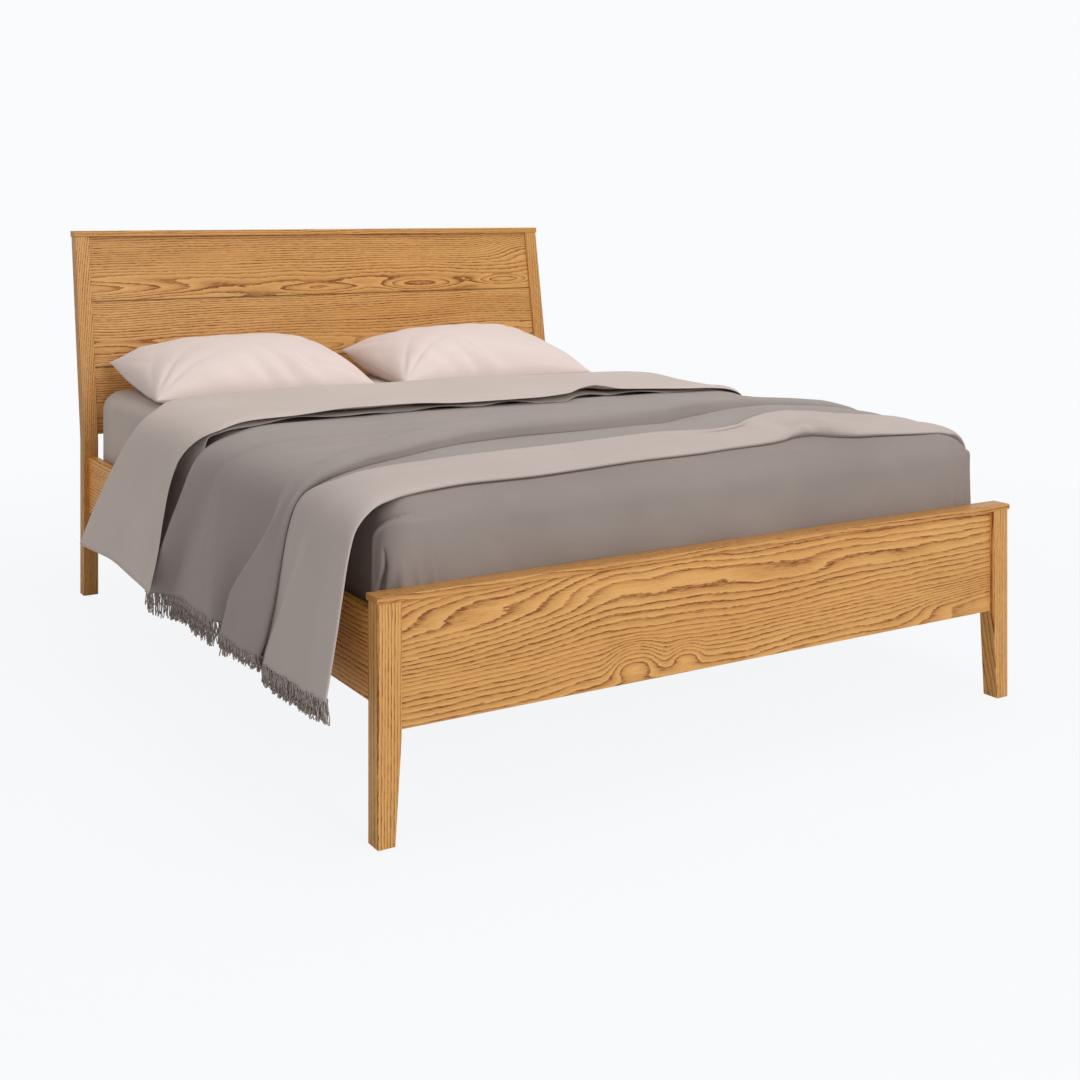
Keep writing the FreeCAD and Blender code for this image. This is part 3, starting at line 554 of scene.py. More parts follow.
mattress_low, mattress_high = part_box("mattress")
mattress = fine_cube("mattress_cover", 39)
mattress_half = np.array((mattress_high - mattress_low) / 2) - mattress_give
shape = np.sin(points_of(mattress) * math.pi / 2) * mattress_half
shape = rounded(shape, mattress_half, np.array(mattress_round))
move_points(mattress, shape + np.array((mattress_low + mattress_high) / 2))
bpy.ops.object.shade_smooth()
ticking, tree, surface = new_material("mattress ticking")
x, y, z = apart(node(tree, "TexCoord", out=3))
quilts = []
for along in (x, y):
    wave = maths("SINE", times(along, math.pi / quilt_step, 0.4))
    quilts.append(maths("POWER", maths("ABSOLUTE", wave), 0.35))
knit = times(maths("SINE", times(maths("ADD", x, z), knit_step)),
             maths("SINE", times(y, knit_step)))
puff = times(quilts[0], quilts[1])
# the ticking is darkened where the quilted puffs sink to their stitching, painted shade in the hollows
coat(surface, mixed(puff, toned(ticking_colour, 0.72), ticking_colour), 0.9,
     times(knit, 0.02, puff), 0.006, Sheen_Weight=0.2)
mattress.data.materials.append(ticking)
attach(mattress, "mattress_set")
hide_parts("mattress")

# ---- Fitted sheet ----
# Warm grey cotton stretched over the mattress, elastic under its edge. The foot half is covered by
# a darker blanket cloth tucked in at the foot, with a folded corner on each side.

sheet_colour = (0.600, 0.512, 0.465, 1.0)
foot_colour = (0.300, 0.254, 0.232, 1.0)
sheet_half = Vector((0.779, 1.0185, 0.142))
sheet_middle = Vector((0, -0.0455, 0.4785))
edge_reach = Vector((0.062, 0.062, 0.055))
tuck_reach = 0.10
linen_thickness = 0.0012
edge_share, edge_zone = 0.80, 0.16
crown_height = 0.006
foot_cloth_edge = -0.15


def through(points):
    """Smooth curve through (place, value) pairs that doesn't swing past them."""
    at, value = np.array(points, float).T
    step = np.diff(at)
    rise = np.diff(value) / step
    slope = np.concatenate([rise[:1], np.zeros(len(at) - 2), rise[-1:]])
    for k in range(1, len(at) - 1):
        if rise[k - 1] * rise[k] > 0:
            a, b = 2 * step[k] + step[k - 1], step[k] + 2 * step[k - 1]
            slope[k] = (a + b) / (a / rise[k - 1] + b / rise[k])

    def curve(x):
        """Value at x, held level past both ends."""
        x = np.clip(x, at[0], at[-1])
        i = np.clip(np.searchsorted(at, x, side="right") - 1, 0, len(step) - 1)
        t = (x - at[i]) / step[i]
        return ((1 + 2 * t) * (1 - t) ** 2 * value[i] + t * (1 - t) ** 2 * step[i] * slope[i]
                + t * t * (3 - 2 * t) * value[i + 1] - t * t * (1 - t) * step[i] * slope[i + 1])
    return curve


def swell(x, centre, width):
    """Soft hump from 0 to 1 and back."""
    return np.exp(-((x - centre) / width) ** 2)


def thicken(piece, thickness, offset=0.0, other_side=0):
    """Give a cloth its thickness; other_side is the material slot step of its back."""
    modifier = piece.modifiers.new("cloth", "SOLIDIFY")
    modifier.thickness = thickness
    modifier.offset = offset
    modifier.material_offset = other_side
    modifier.material_offset_rim = 0
    bpy.context.view_layer.objects.active = piece
    bpy.ops.object.modifier_apply(modifier="cloth")
    bpy.ops.object.shade_smooth()


fitted = fine_cube("fitted_sheet_cover", 89)
half, reach = np.array(sheet_half), np.array(edge_reach)
cube = points_of(fitted)
places = cube * half
# even spacing is widened over the flats and kept fine round the edges
for axis in (0, 1):
    side = half[axis]
    spread = through([(-1, -side), (-edge_share, -side + edge_zone),
                      (edge_share, side - edge_zone), (1, side)])
    places[:, axis] = spread(cube[:, axis])
places = rounded(places, half, reach)
crown = crown_height * (1 - (places[:, 0] / half[0]) ** 4) * (1 - (places[:, 1] / half[1]) ** 6)
places[:, 2] += crown * (cube[:, 2] > 0)
# the foot face is drawn tight above and ripples below, outwards only, so that it stays covering
on_foot = cube[:, 1] < -0.999
x, z = places[:, 0], places[:, 2] / half[2]
drag = 0.5 + 0.5 * z
ripple = 0.0035 * np.sin(17 * x + 5.5 * z + 1.3 * np.sin(6 * x)) * (1 - drag)
ripple = ripple * (0.35 + 0.65 * swell(x, 0.35, 0.5))
ripple += 0.004 * (np.sin(46 * x + 2.0 * z) ** 3) * swell(x, -0.70, 0.10) * (1 - drag)
places[:, 1] -= np.where(on_foot, np.maximum(ripple + 0.0030, 0.0), 0.0)
move_points(fitted, places + np.array(sheet_middle))
bpy.ops.object.mode_set(mode="EDIT")
bpy.ops.mesh.select_mode(type="FACE")
bpy.ops.mesh.select_all(action="DESELECT")
bpy.ops.object.mode_set(mode="OBJECT")
for face in fitted.data.polygons:
    inside = max(abs(face.center.x) - half[0], abs(face.center.y - sheet_middle.y) - half[1]) < -tuck_reach
    face.select = bool(inside and face.normal.z < -0.9)
bpy.ops.object.mode_set(mode="EDIT")
bpy.ops.mesh.delete(type="FACE")
bpy.ops.object.mode_set(mode="OBJECT")
thicken(fitted, linen_thickness, -1)

sheet_cotton = woven("sheet cotton", sheet_colour, thread=0.0010, by_place=True, fuzz=0.15)
foot_cotton = woven("foot cotton", foot_colour, thread=0.0010, by_place=True, fuzz=0.15)
fitted.data.materials.append(sheet_cotton)
fitted.data.materials.append(foot_cotton)
for face in fitted.data.polygons:
    face.material_index = 1 if face.center.y < foot_cloth_edge else 0
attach(fitted, "mattress_set")
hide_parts("fitted_sheet")


def cloth(name, places, along, across):
    """Sheet of cloth: a grid whose points lie at places, rows by columns, with a UV map in metres."""
    rows, columns = places.shape[:2]
    bpy.ops.object.select_all(action="DESELECT")
    bpy.ops.mesh.primitive_grid_add(x_subdivisions=columns - 1, y_subdivisions=rows - 1, size=2)
    piece = bpy.context.object
    piece.name = name
    flat = points_of(piece)
    column = np.rint((flat[:, 0] + 1) / 2 * (columns - 1)).astype(int)
    row = np.rint((flat[:, 1] + 1) / 2 * (rows - 1)).astype(int)
    move_points(piece, places[row, column])
    layer = piece.data.uv_layers.active or piece.data.uv_layers.new(name="cut")
    corners = np.empty(len(piece.data.loops), int)
    piece.data.loops.foreach_get("vertex_index", corners)
    at = np.stack([across[row, column][corners], along[row, column][corners]], axis=1)
    layer.data.foreach_set("uv", at.ravel())
    return piece


# The folded corners of the foot cloth: a pleat that wraps each foot corner of the mattress, its
# rolled edge on the side and a slit where it stands open. The right one is flatter.
corner_rows, corner_columns = 96, 110
corner_foot_way, corner_side_way = 0.150, 0.120
corner_low, corner_high = 0.385, 0.606
corner_radius = 0.052
corner_thickness = 0.0016
roll_height, flap_height, slit_depth, tuck_depth = 0.0036, 0.0070, 0.030, 0.010
corner_pleats = ((-0.022, 0.0058), (-0.052, 0.0064), (-0.084, 0.0048))

round_way = np.linspace(-corner_foot_way, corner_side_way, corner_columns)
A, U = np.meshgrid(round_way, np.linspace(corner_low, corner_high, corner_rows))
quarter = corner_radius * math.pi / 2
turn = np.clip(A / quarter + 0.5, 0, 1) * math.pi / 2
before, after = np.minimum(A + quarter / 2, 0), np.maximum(A - quarter / 2, 0)
rise = np.clip((U - (sheet_middle.z + sheet_half.z + 0.004 - 0.055)) / 0.055, 0, 1)
pull = edge_reach.x * (1 - np.sqrt(1 - rise ** 2))
# the pleat's rolled edge runs straight up the side and bends over onto the foot face
bend = np.clip((U - 0.540) / 0.060, 0, 1)
fold_line = (0.046 + 0.003 * np.sin(18 * (U - 0.38)) - 0.115 * (1 - np.sqrt(1 - bend ** 2))
             - 6 * np.maximum(U - 0.600, 0))
inside_fold = fold_line - A
slit_line = 0.018 - 0.077 * (U - 0.47) + 0.003 * np.sin(60 * U)
open_way = np.clip((0.535 - U) / 0.09, 0, 1) * (0.55 + 0.45 * swell(U, 0.455, 0.030))
slit = np.clip(open_way * 1.6, 0, 1) * np.exp(-(np.abs(A - slit_line) / (0.0024 + 0.0042 * open_way)) ** 3)
for name, side, share in (("left", -1, 1.0), ("right", 1, 0.3)):
    edge_roll = roll_height * share * swell(inside_fold, 0.006, 0.007)
    flap = flap_height * share * np.clip(inside_fold / 0.005, 0, 1) ** 0.5
    flap = flap * np.clip(1 - (inside_fold - 0.02) / 0.12, 0.15, 1)
    lift = np.where(inside_fold < 0, -tuck_depth, flap + edge_roll)
    lift = lift - slit_depth * share * slit
    lift = lift + 0.003 * share * swell(A, slit_line - 0.014, 0.008) * np.clip((0.54 - U) / 0.05, 0, 1)
    for pleat, size in corner_pleats:
        lift = lift + size * swell(A, pleat + 0.10 * (U - 0.45), 0.009) * np.clip((0.530 - U) / 0.07, 0, 1)
    # the patch sinks into the sheet at its foot end and along its top
    lift = lift - 0.010 * np.clip((-A - 0.095) / 0.045, 0, 1) - 0.012 * np.clip((U - 0.580) / 0.018, 0, 1)
    out = corner_radius + lift - pull
    turned_x = sheet_half.x - corner_radius + out * np.sin(turn) + before
    turned_y = sheet_middle.y - sheet_half.y + corner_radius - out * np.cos(turn) + after
    corner_places = np.stack([side * turned_x, turned_y, U], axis=-1)
    if side > 0:
        corner_places = corner_places[::-1]
    corner = cloth("foot_corner_" + name, corner_places, U, A)
    thicken(corner, corner_thickness)
    corner.data.materials.append(foot_cotton)
    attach(corner, "mattress_set")

# ---- Pillows ----
# Two soft filled pillows in pale blush cotton cases, seamed all round. They lie loose on the sheet
# in front of the headboard, a little raised at the back.

pillow_colour = (0.835, 0.705, 0.658, 1.0)
pillow_half = (0.334, 0.243)
pillow_rise = 0.104
pillow_places = {"left": -0.416, "right": 0.342}
pillow_back = -0.004
pillow_height = 0.670
pillow_tilt = math.radians(7.5)
seam_thickness = 0.004
seam_half = 0.0012
rest_height = 0.6275
case_cotton = woven("pillow cotton", pillow_colour, thread=0.0009, by_place=True, fuzz=0.12, uneven=0.04)

for number, side in enumerate(("left", "right")):
    low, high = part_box("pillow_" + side)
    bpy.ops.object.select_all(action="DESELECT")
    bpy.ops.mesh.primitive_grid_add(x_subdivisions=110, y_subdivisions=80, size=2)
    pillow = bpy.context.object
    pillow.name = "pillow_cover_" + side
    pillow.data.materials.append(case_cotton)
    thicken(pillow, seam_thickness)
    shape = points_of(pillow)
    u, v = np.clip(shape[:, 0], -1, 1), np.clip(shape[:, 1], -1, 1)
    # the seam bows in between the corners
    x = pillow_half[0] * u * (1 - 0.030 * u * u * (1 - v * v))
    y = pillow_half[1] * v * (1 - 0.045 * v * v * (1 - u * u))
    full = (1 - np.abs(u) ** 3.0) ** 0.62 * (1 - np.abs(v) ** 2.6) ** 0.60
    height = pillow_rise * full
    # folds run in from each corner and stand along the front and back seams
    folds = 0.0040 * np.sin(9 * x + 2.4 * number + 0.5) * np.cos(11 * y + number)
    for corner, (cu, cv) in enumerate(((-1, -1), (1, -1), (1, 1), (-1, 1))):
        from_x, from_y = x - cu * pillow_half[0], y - cv * pillow_half[1]
        away = np.hypot(from_x, from_y)
        spoke = np.arctan2(-cv * from_y, -cu * from_x)
        fold = np.sin((8.5 + corner) * spoke + 1.7 * corner + 2.2 * number + 5 * away)
        fold = 1 - 2 * np.abs(fold) ** 0.6
        folds -= 0.0100 * fold * np.exp(-away / 0.13) * (1 - np.exp(-(away / 0.05) ** 2))
    even = 1 - u ** 4
    gathers = np.sin(40 * x + 5 * np.sin(9 * x + 1.5 * number) + 8 * v)
    gathers = gathers * (0.6 + 0.4 * np.sin(13 * x + 2 * number))
    folds += 0.0088 * gathers * np.exp(-((v + 0.80) / 0.40) ** 2) * even
    folds += 0.0034 * np.sin(37 * x + 3 * np.sin(8 * x) - 6 * v) * np.exp(-((v - 0.85) / 0.30) ** 2) * even
    facing = np.where(shape[:, 2] > 0, 1, -1)
    z = facing * (height + folds * np.clip(full * 2.2, 0, 1) + seam_half)
    turned = np.stack([x, y * math.cos(pillow_tilt) - z * math.sin(pillow_tilt),
                       y * math.sin(pillow_tilt) + z * math.cos(pillow_tilt)], axis=1)
    turned += np.array((pillow_places[side], (low.y + high.y) / 2 + pillow_back, pillow_height))
    # the underside lies flat on the sheet
    turned[:, 2] = np.maximum(turned[:, 2], rest_height)
    move_points(pillow, turned)
    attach(pillow, side + "_pillow")
    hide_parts("pillow_" + side)

# ---- Top sheet ----
# Light grey cotton laid over the bed, turned back on itself in a broad band below the pillows. Its
# stitched hem lies on top, over the throw's edge, and both layers hang down the sides.

band_colour = (0.625, 0.540, 0.492, 1.0)
band_thickness = 0.0014
band_section = [
    (0.0, 0.642), (0.45, 0.642), (0.66, 0.640), (0.745, 0.634), (0.800, 0.618), (0.832, 0.590),
    (0.850, 0.552), (0.864, 0.507), (0.880, 0.450), (0.903, 0.365), (0.914, 0.320), (0.931, 0.256)]
lower_rows = 14


def bed_section(points):
    """Line across the bed and down its right side, as a function of the way along it from the
    middle, negative to the left. Returns x, z and the way outwards."""
    points = np.array(points)
    way = np.concatenate([[0], np.cumsum(np.linalg.norm(np.diff(points, axis=0), axis=1))])
    fine = np.linspace(0, way[-1], 600)
    x, z = through(list(zip(way, points[:, 0])))(fine), through(list(zip(way, points[:, 1])))(fine)
    run = np.concatenate([[0], np.cumsum(np.hypot(np.diff(x), np.diff(z)))])

    def section(u):
        """Place and outward way at u; past the last point the line runs on straight."""
        a = np.abs(u)
        extra = np.maximum(a - run[-1], 0)
        at_x, at_z = np.interp(a, run, x), np.interp(a, run, z)
        step = 0.012
        b, c = np.clip(a - step, 0, run[-1] - step), np.clip(a + step, step, run[-1])
        tx, tz = np.interp(c, run, x) - np.interp(b, run, x), np.interp(c, run, z) - np.interp(b, run, z)
        long = np.hypot(tx, tz)
        tx, tz = tx / long, tz / long
        at_x, at_z = at_x + extra * tx, at_z + extra * tz
        return np.sign(u) * at_x, at_z, np.sign(u) * -tz, tx
    return section, run[-1]


def line(*points):
    """Value at each station across the bed, from (way across, value) pairs, left hem to right."""
    return through(points)(u)


def folded(lines):
    """Profile of folded cloth at each station: smooth through its fold lines, given as (place along
    the bed, height, steps to the next line). Returns y and height as rows by stations."""
    places, heights = (np.stack(np.broadcast_arrays(*[row[k] for row in lines]), axis=1)
                       for k in (0, 1))
    rows = []
    for y_points, h_points in zip(places, heights):
        way = np.concatenate([[0], np.cumsum(np.hypot(np.diff(y_points), np.diff(h_points)) ** 0.8 + 1e-5)])
        at = np.concatenate([[0]] + [np.linspace(way[k], way[k + 1], row[2] + 1)[1:]
                                     for k, row in enumerate(lines[:-1])])
        rows.append((through(list(zip(way, y_points)))(at), through(list(zip(way, h_points)))(at)))
    return np.array([row[0] for row in rows]).T, np.array([row[1] for row in rows]).T


def lay(name, section, u, ys, hs, extra):
    """Cloth over the bed from its profile rows."""
    U = np.broadcast_to(u, ys.shape) + np.sign(u) * extra
    x, z, nx, nz = section(U)
    places = np.stack([x + nx * hs, ys, z + nz * hs], axis=-1)
    steps = np.hypot(np.diff(ys, axis=0), np.diff(hs, axis=0))
    run = np.concatenate([np.zeros((1, len(u))), np.cumsum(steps, axis=0)])
    middle_run = np.broadcast_to(run[:, len(u) // 2:len(u) // 2 + 1], ys.shape)
    return cloth(name, places[::-1], middle_run[::-1], U[::-1])


section, hem = bed_section(band_section)
u = np.linspace(-hem, hem, 221)
edge_y = line(
    (-hem, -0.095), (-1.10, -0.090), (-1.02, -0.070), (-0.95, -0.058), (-0.89, -0.064),
    (-0.83, -0.105), (-0.78, -0.135), (-0.70, -0.100), (-0.60, -0.092), (-0.40, -0.098),
    (-0.25, -0.090), (-0.10, -0.100), (0.05, -0.112), (0.20, -0.125), (0.29, -0.070),
    (0.345, -0.050), (0.375, -0.105), (0.48, -0.110), (0.64, -0.135), (0.78, -0.130),
    (0.90, -0.100), (1.05, -0.082), (hem, -0.085))
head_y = line(
    (-hem, 0.520), (-1.12, 0.500), (-1.02, 0.458), (-0.93, 0.400), (-0.86, 0.345), (-0.81, 0.330),
    (-0.74, 0.395), (-0.64, 0.424), (-0.40, 0.418), (-0.20, 0.408), (0.05, 0.412), (0.25, 0.400),
    (0.45, 0.365), (0.60, 0.325), (0.70, 0.285), (0.80, 0.262), (0.92, 0.290), (1.05, 0.335),
    (hem, 0.375))
edge_up = line(
    (-hem, 0.014), (-0.95, 0.016), (-0.80, 0.012), (-0.60, 0.011), (-0.42, 0.021), (-0.25, 0.019),
    (-0.10, 0.012), (0.10, 0.013), (0.25, 0.022), (0.345, 0.026), (0.40, 0.018), (0.62, 0.009),
    (0.85, 0.006), (1.0, 0.010), (hem, 0.014))
puff = 0.0155 + 0.003 * np.sin(9 * u + 1.0) * np.sin(3.3 * u)
body = 0.011 + 0.0018 * np.sin(7.0 * u + 0.5)
drop = np.clip((np.abs(u) - 0.80) / 0.12, 0, 1)
deep = edge_y + 0.022 + 0.010 * np.sin(21 * u + 0.6 * np.sin(13 * u)) * (1 - drop) - 0.110 * drop
halfway = 0.5 * (edge_y + head_y)
wave = 0.0012 * np.sin(30 * u) + 0.0010 * np.sin(13 * u + 2)
# from the lower layer's edge up to the fold at the head, and back over it to the hem
ys, hs = folded([
    (deep, -0.001 + 2.5 * wave - 0.064 * drop, 6),
    (deep + 0.012, 0.001 + 1.5 * wave - 0.064 * drop, 8),
    (deep + 0.05, 0.001 + np.abs(wave) - 0.058 * drop, 10),
    (halfway, -0.006 * drop, 8),
    (head_y - 0.024, 0.001, 8),
    (head_y, 0.55 * puff, 7),
    (head_y - 0.022, puff, 12),
    (head_y - 0.13, body + 0.002, 10),
    (halfway - 0.04, body, 12),
    (edge_y + 0.075, body + 0.0015 + wave, 10),
    (edge_y + 0.026, body + 0.004, 8),
    (edge_y, edge_up, 0)])
drop = np.clip((np.abs(u) - 0.82) / 0.30, 0, 1)
flute = 0.0045 * np.sin(2 * math.pi * (ys - 0.1) / 0.42 + 0.5) * drop
flare = 0.004 * np.clip((ys - 0.30) / 0.22, 0, 1) ** 1.5 * drop
extra = -0.014 * swell(ys, 0.20, 0.16) * drop
extra[:lower_rows] -= 0.045 * drop
top_sheet = lay("top_sheet_band", section, u, ys, hs + flute + flare, extra)
thicken(top_sheet, band_thickness)
band_cotton = woven("top sheet cotton", band_colour, thread=0.0010, fuzz=0.15, uneven=0.05)
top_sheet.data.materials.append(band_cotton)
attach(top_sheet, "mattress_set")
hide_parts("top_sheet")

# ---- Throw ----
# One double-faced wool throw, taupe above and lighter below. Its foot side is turned back on itself
# and shows the light face; a soft pleat runs across the dark face beside it.

taupe_colour = (0.352, 0.307, 0.286, 1.0)
reverse_colour = (0.512, 0.440, 0.408, 1.0)
wool_thickness = 0.0026
throw_section = [
    (0.0, 0.634), (0.45, 0.634), (0.64, 0.633), (0.73, 0.629), (0.785, 0.618), (0.822, 0.598),
    (0.846, 0.564), (0.858, 0.520), (0.868, 0.460), (0.879, 0.390), (0.891, 0.320), (0.900, 0.270)]
section, hem = bed_section(throw_section)
u = np.linspace(-hem, hem, 231)
head_edge = line(
    (-hem, -0.030), (-1.085, -0.078), (-1.02, -0.101), (-0.918, -0.142), (-0.83, -0.158),
    (-0.76, -0.150), (-0.68, -0.105), (-0.60, -0.075), (0.60, -0.080), (0.80, -0.110),
    (hem, -0.060))
strip = line(
    (-hem, -0.090), (-1.075, -0.131), (-0.965, -0.222), (-0.872, -0.282), (-0.80, -0.330),
    (-0.70, -0.320), (-0.50, -0.24), (0.0, -0.20), (0.60, -0.20), (0.85, -0.25), (hem, -0.22))
ridge = line(
    (-hem, -0.470), (-1.02, -0.422), (-0.905, -0.383), (-0.82, -0.362), (-0.70, -0.375),
    (-0.50, -0.34), (0.0, -0.30), (0.60, -0.30), (0.85, -0.36), (hem, -0.40))
hollow = line(
    (-hem, -0.512), (-1.09, -0.518), (-0.99, -0.590), (-0.89, -0.660), (-0.80, -0.640),
    (-0.60, -0.52), (-0.30, -0.42), (0.0, -0.41), (0.60, -0.40), (0.85, -0.50), (hem, -0.52))
crease = line(
    (-hem, -0.738), (-1.115, -0.760), (-1.04, -0.771), (-0.91, -0.774), (-0.83, -0.783),
    (-0.77, -0.775), (-0.66, -0.725), (-0.55, -0.668), (-0.45, -0.615), (-0.34, -0.575),
    (-0.17, -0.555), (0.10, -0.560), (0.20, -0.572), (0.30, -0.535), (0.37, -0.524), (0.50, -0.520),
    (0.62, -0.535), (0.75, -0.590), (0.90, -0.655), (hem, -0.69))
crest_back = line(
    (-hem, 0.182), (-1.10, 0.192), (-1.02, 0.138), (-0.93, 0.055), (-0.86, 0.020), (-0.80, 0.022),
    (-0.66, 0.050), (-0.40, 0.060), (0.0, 0.055), (0.30, 0.030), (0.60, 0.030), (0.85, 0.06),
    (hem, 0.08))
crest_up = line(
    (-hem, 0.028), (-1.05, 0.028), (-0.93, 0.024), (-0.84, 0.021), (-0.66, 0.024), (-0.40, 0.031),
    (0.0, 0.036), (0.30, 0.040), (0.48, 0.038), (0.62, 0.029), (0.74, 0.024), (0.86, 0.024),
    (hem, 0.017))
second_up = line(
    (-hem, 0.0), (-0.10, 0.0), (0.12, 0.010), (0.32, 0.024), (0.50, 0.030), (0.66, 0.022),
    (0.80, 0.014), (hem, 0.004))
overhang = line(
    (-hem, 0.014), (-0.95, 0.012), (-0.83, 0.008), (-0.70, 0.002), (-0.50, 0.000), (0.30, -0.004),
    (0.85, 0.004), (hem, 0.008))
cut_edge = line(
    (-hem, -0.735), (-0.95, -0.768), (-0.85, -0.790), (-0.78, -0.850), (-0.66, -0.858),
    (-0.45, -0.852), (-0.31, -0.848), (-0.17, -0.826), (0.0, -0.812), (0.14, -0.815),
    (0.25, -0.795), (0.34, -0.735), (0.44, -0.705), (0.52, -0.722), (0.60, -0.760), (0.70, -0.788),
    (0.80, -0.798), (0.95, -0.790), (hem, -0.780))
foot_edge = line(
    (-hem, -1.058), (-0.90, -1.060), (-0.83, -1.052), (-0.77, -1.030), (-0.66, -1.008),
    (-0.57, -0.994), (-0.45, -0.998), (-0.30, -0.982), (-0.14, -0.958), (0.03, -0.950),
    (0.12, -0.935), (0.24, -0.925), (0.31, -0.905), (0.365, -0.880), (0.42, -0.876), (0.46, -0.925),
    (0.50, -0.952), (0.57, -0.962), (0.68, -0.985), (0.76, -0.985), (0.84, -0.965), (0.98, -0.930),
    (hem, -0.900))
roll = line(
    (-hem, 0.008), (-0.80, 0.009), (-0.50, 0.010), (0.10, 0.010), (0.22, 0.012), (0.32, 0.014),
    (0.365, 0.019), (0.395, 0.027), (0.425, 0.020), (0.46, 0.017), (0.54, 0.014), (0.60, 0.009),
    (hem, 0.008))
crest_light = line(
    (-hem, 0.010), (-0.90, 0.010), (-0.80, 0.016), (-0.60, 0.022), (-0.30, 0.025), (0.0, 0.026),
    (0.20, 0.020), (0.34, 0.022), (0.44, 0.027), (0.52, 0.027), (0.60, 0.021), (0.72, 0.014),
    (hem, 0.010))
light_ridge = line(
    (-hem, -0.800), (-1.115, -0.815), (-1.06, -0.840), (-0.99, -0.875), (-0.93, -0.910),
    (-0.87, -0.955), (-0.80, -0.960), (-0.60, -0.935), (0.0, -0.890), (0.36, -0.815), (0.48, -0.84),
    (0.60, -0.87), (0.80, -0.88), (0.98, -0.86), (hem, -0.84))
drop = np.clip((np.abs(u) - 0.80) / 0.30, 0, 1)
on_top = np.clip((0.86 - np.abs(u)) / 0.10, 0, 1)
crumple = 0.010 * swell(u, 0.470, 0.040) - 0.008 * swell(u, 0.385, 0.028) + 0.007 * swell(u, 0.30, 0.045)
light_up = crest_light - 0.012
# dark face from the head edge over the crease, down to the foot edge, and back as the light face
ys, hs = folded([
    (head_edge, 0.002 + 0.026 * drop, 8),
    (strip, 0.001 - 0.018 * drop, 10),
    (ridge, 0.003 + 0.019 * drop, 8),
    (hollow, 0.001 - 0.020 * drop, 10),
    (crease + crest_back, crest_up, 10),
    (crease + 0.25 * crest_back, 0.88 * crest_up, 6),
    (crease, 0.45 * crest_up, 6),
    (crease + overhang, -0.001 + 0.002 * drop, 6),
    (crease + overhang + 0.02, -0.004 - 0.004 * drop, 4),
    (np.minimum(0.5 * (crease + cut_edge), crease) - 0.004, second_up - 0.002 - 0.008 * drop, 8),
    (cut_edge - 0.03, -0.004 * drop, 6),
    (0.45 * cut_edge + 0.55 * foot_edge, -0.004 - 0.002 * drop, 8),
    (foot_edge + 0.016, -0.011 * on_top, 8),
    (foot_edge, 0.5 * roll - 0.010 * on_top, 8),
    (foot_edge + 0.014, roll - 0.006 * on_top, 10),
    (light_ridge, 0.011 + 0.011 * drop + 0.25 * light_up + crumple, 10),
    (0.6 * cut_edge + 0.4 * light_ridge, 0.012 - 0.012 * drop + 0.3 * light_up, 7),
    (cut_edge - 0.014, 0.90 * crest_light - 0.006 * drop + 0.5 * crumple, 5),
    (cut_edge, crest_light - 0.002 - 0.008 * drop, 0)])
fine = 0.0012 * np.sin(38 * ys + 3 * np.sin(2.2 * u)) * np.cos(3.1 * u + 1.0)
fine += 0.0010 * np.sin(63 * ys + 5.0 * u)
hs = hs + fine * (hs > 0.0)
extra = 0.026 * swell(ys, -0.02, 0.14) * drop - 0.010 * swell(ys, -0.46, 0.10) * drop
throw = lay("throw_cloth", section, u, ys, hs, extra)
wool_dark = woven("throw wool", taupe_colour, thread=0.0018, twill=True, uneven=0.07)
wool_light = woven("throw wool reverse", reverse_colour, thread=0.0018, twill=True, uneven=0.06)
throw.data.materials.append(wool_dark)
throw.data.materials.append(wool_light)
thicken(throw, wool_thickness, other_side=1)
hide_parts("throw_blanket")

# ---- Fringe ----
# The throw's two short ends run out in looped twisted yarns, an upper row and, towards the head, a
# longer one behind it.

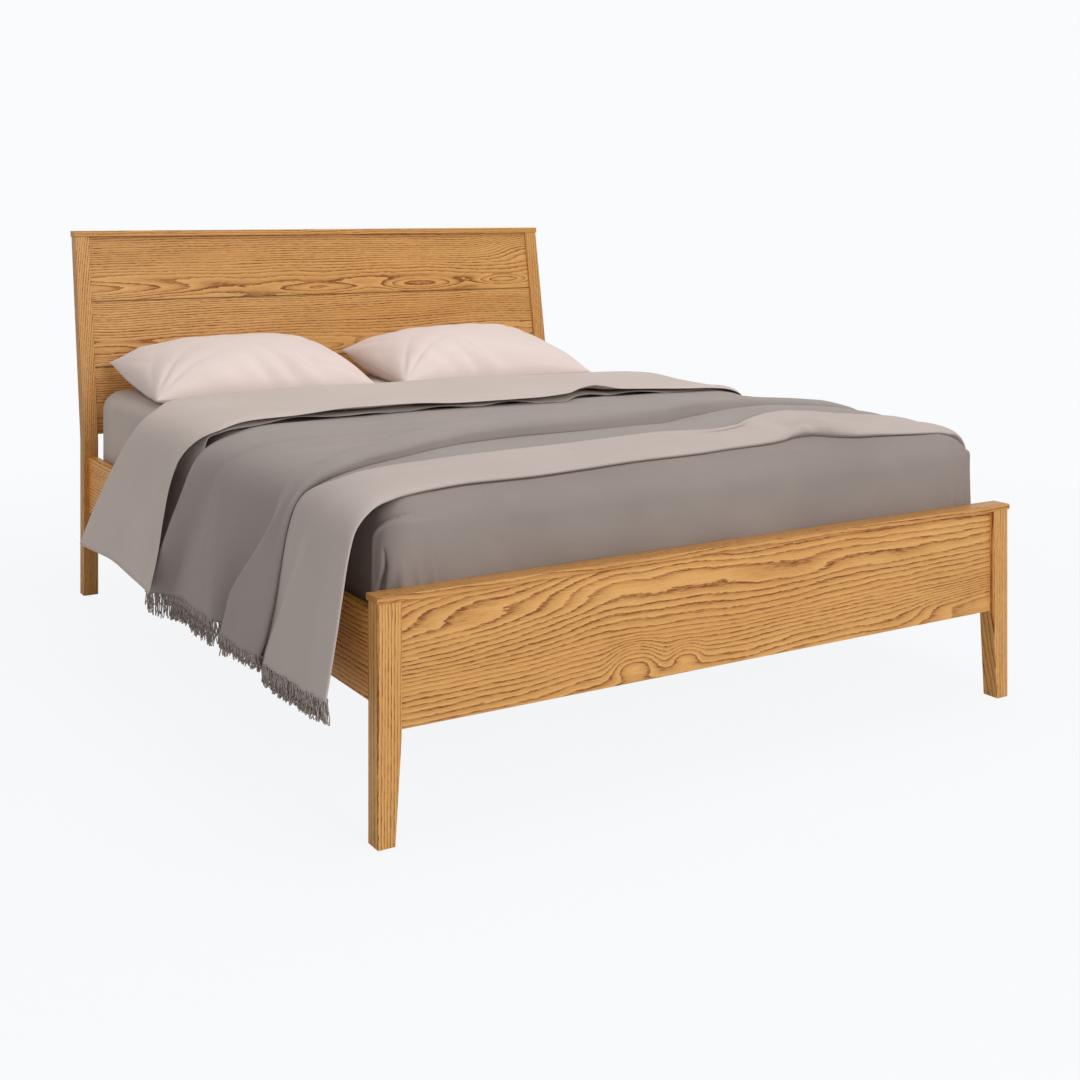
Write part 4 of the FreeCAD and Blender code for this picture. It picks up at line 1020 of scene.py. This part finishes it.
frizz_colour = (0.235, 0.196, 0.178, 1.0)
tassel_step, tassel_luck = 0.0040, 0.0016
strand_radius = 0.0013
loop_steps = 9
loop_length, light_more = 0.028, 0.014
loop_width = (0.0018, 0.0036)
length_luck = (0.80, 1.12)
row_gap, row_luck = 0.004, 0.002
root_up = 0.002
luck = np.random.default_rng(7)
strand_points, strand_faces = [], []
x, z, nx, nz = section(np.broadcast_to(u, ys.shape) + np.sign(u) * extra)
for side, column in ((-1, 0), (1, len(u) - 1)):
    line_y, line_h = ys[:, column], hs[:, column]
    hem_x, hem_z = x[:, column] + nx[:, column] * line_h, z[:, column] + nz[:, column] * line_h
    run = np.concatenate([[0], np.cumsum(np.hypot(np.diff(line_y), np.diff(hem_x)))])
    for at in np.arange(0.002, run[-1], tassel_step):
        for row in (0, 1):
            place_at = at + luck.uniform(-tassel_luck, tassel_luck)
            root_x = np.interp(place_at, run, hem_x) - row * row_gap * side
            root_x = root_x + luck.uniform(-row_luck, row_luck)
            root_y, root_z = np.interp(place_at, run, line_y), np.interp(place_at, run, hem_z) + root_up
            root = np.array([root_x, root_y, root_z])
            # the long row hangs only towards the head, the wider loops only under the light face
            under = row * float(np.clip((root[1] + 0.60) / 0.06, 0, 1))
            on_light = float(np.clip((-0.72 - root[1]) / 0.10, 0, 1))
            length = loop_length + loop_length * under + light_more * on_light
            length = length * luck.uniform(*length_luck)
            width, phase = luck.uniform(*loop_width) * (1 + 0.6 * on_light), luck.uniform(0, 3.14)
            sway_x, sway_y = luck.uniform(-0.005, 0.006) * side, luck.uniform(-0.007, 0.007)
            base = len(strand_points)
            for k in range(loop_steps + 1):
                t = k / loop_steps
                down = math.sin(math.pi * t) ** 0.7
                turned = phase + 2.4 * down
                open_by = width * math.cos(math.pi * t) * (0.45 + 0.75 * down)
                centre = root + np.array([sway_x * down ** 2 + open_by * math.cos(turned),
                                          sway_y * down + open_by * math.sin(turned), -length * down])
                for corner in range(3):
                    angle = corner * 2 * math.pi / 3 + 0.8 * k
                    strand_points.append(centre + strand_radius * np.array([math.cos(angle), math.sin(angle),
                                                                            0.5 * math.sin(angle + 1)]))
            for k in range(loop_steps):
                for corner in range(3):
                    a, b = base + 3 * k + corner, base + 3 * k + (corner + 1) % 3
                    strand_faces.append((a, a + 3, b + 3, b))
            strand_faces.append((base, base + 1, base + 2))
            strand_faces.append((base + 3 * loop_steps + 2, base + 3 * loop_steps + 1, base + 3 * loop_steps))
fringe_mesh = bpy.data.meshes.new("throw_tassels")
fringe_mesh.from_pydata([tuple(p) for p in strand_points], [], strand_faces)
fringe = bpy.data.objects.new("throw_tassels", fringe_mesh)
bpy.context.scene.collection.objects.link(fringe)
frizz, tree, surface = new_material("tassel yarn")
place = node(tree, "TexCoord", out=3)
fluff = ramp(noise(place, 260.0, 3.0, 0.7), [(0.3, 0.0), (0.7, 1.0)])
coat(surface, mixed(fluff, frizz_colour, toned(frizz_colour, 2.3)), 0.95,
     noise(place, 1400.0, 2.0, 0.6), 0.0006, Sheen_Weight=0.4)
fringe.data.materials.append(frizz)
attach(fringe, "mattress_set")
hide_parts("throw_fringe")
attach(throw, "mattress_set")
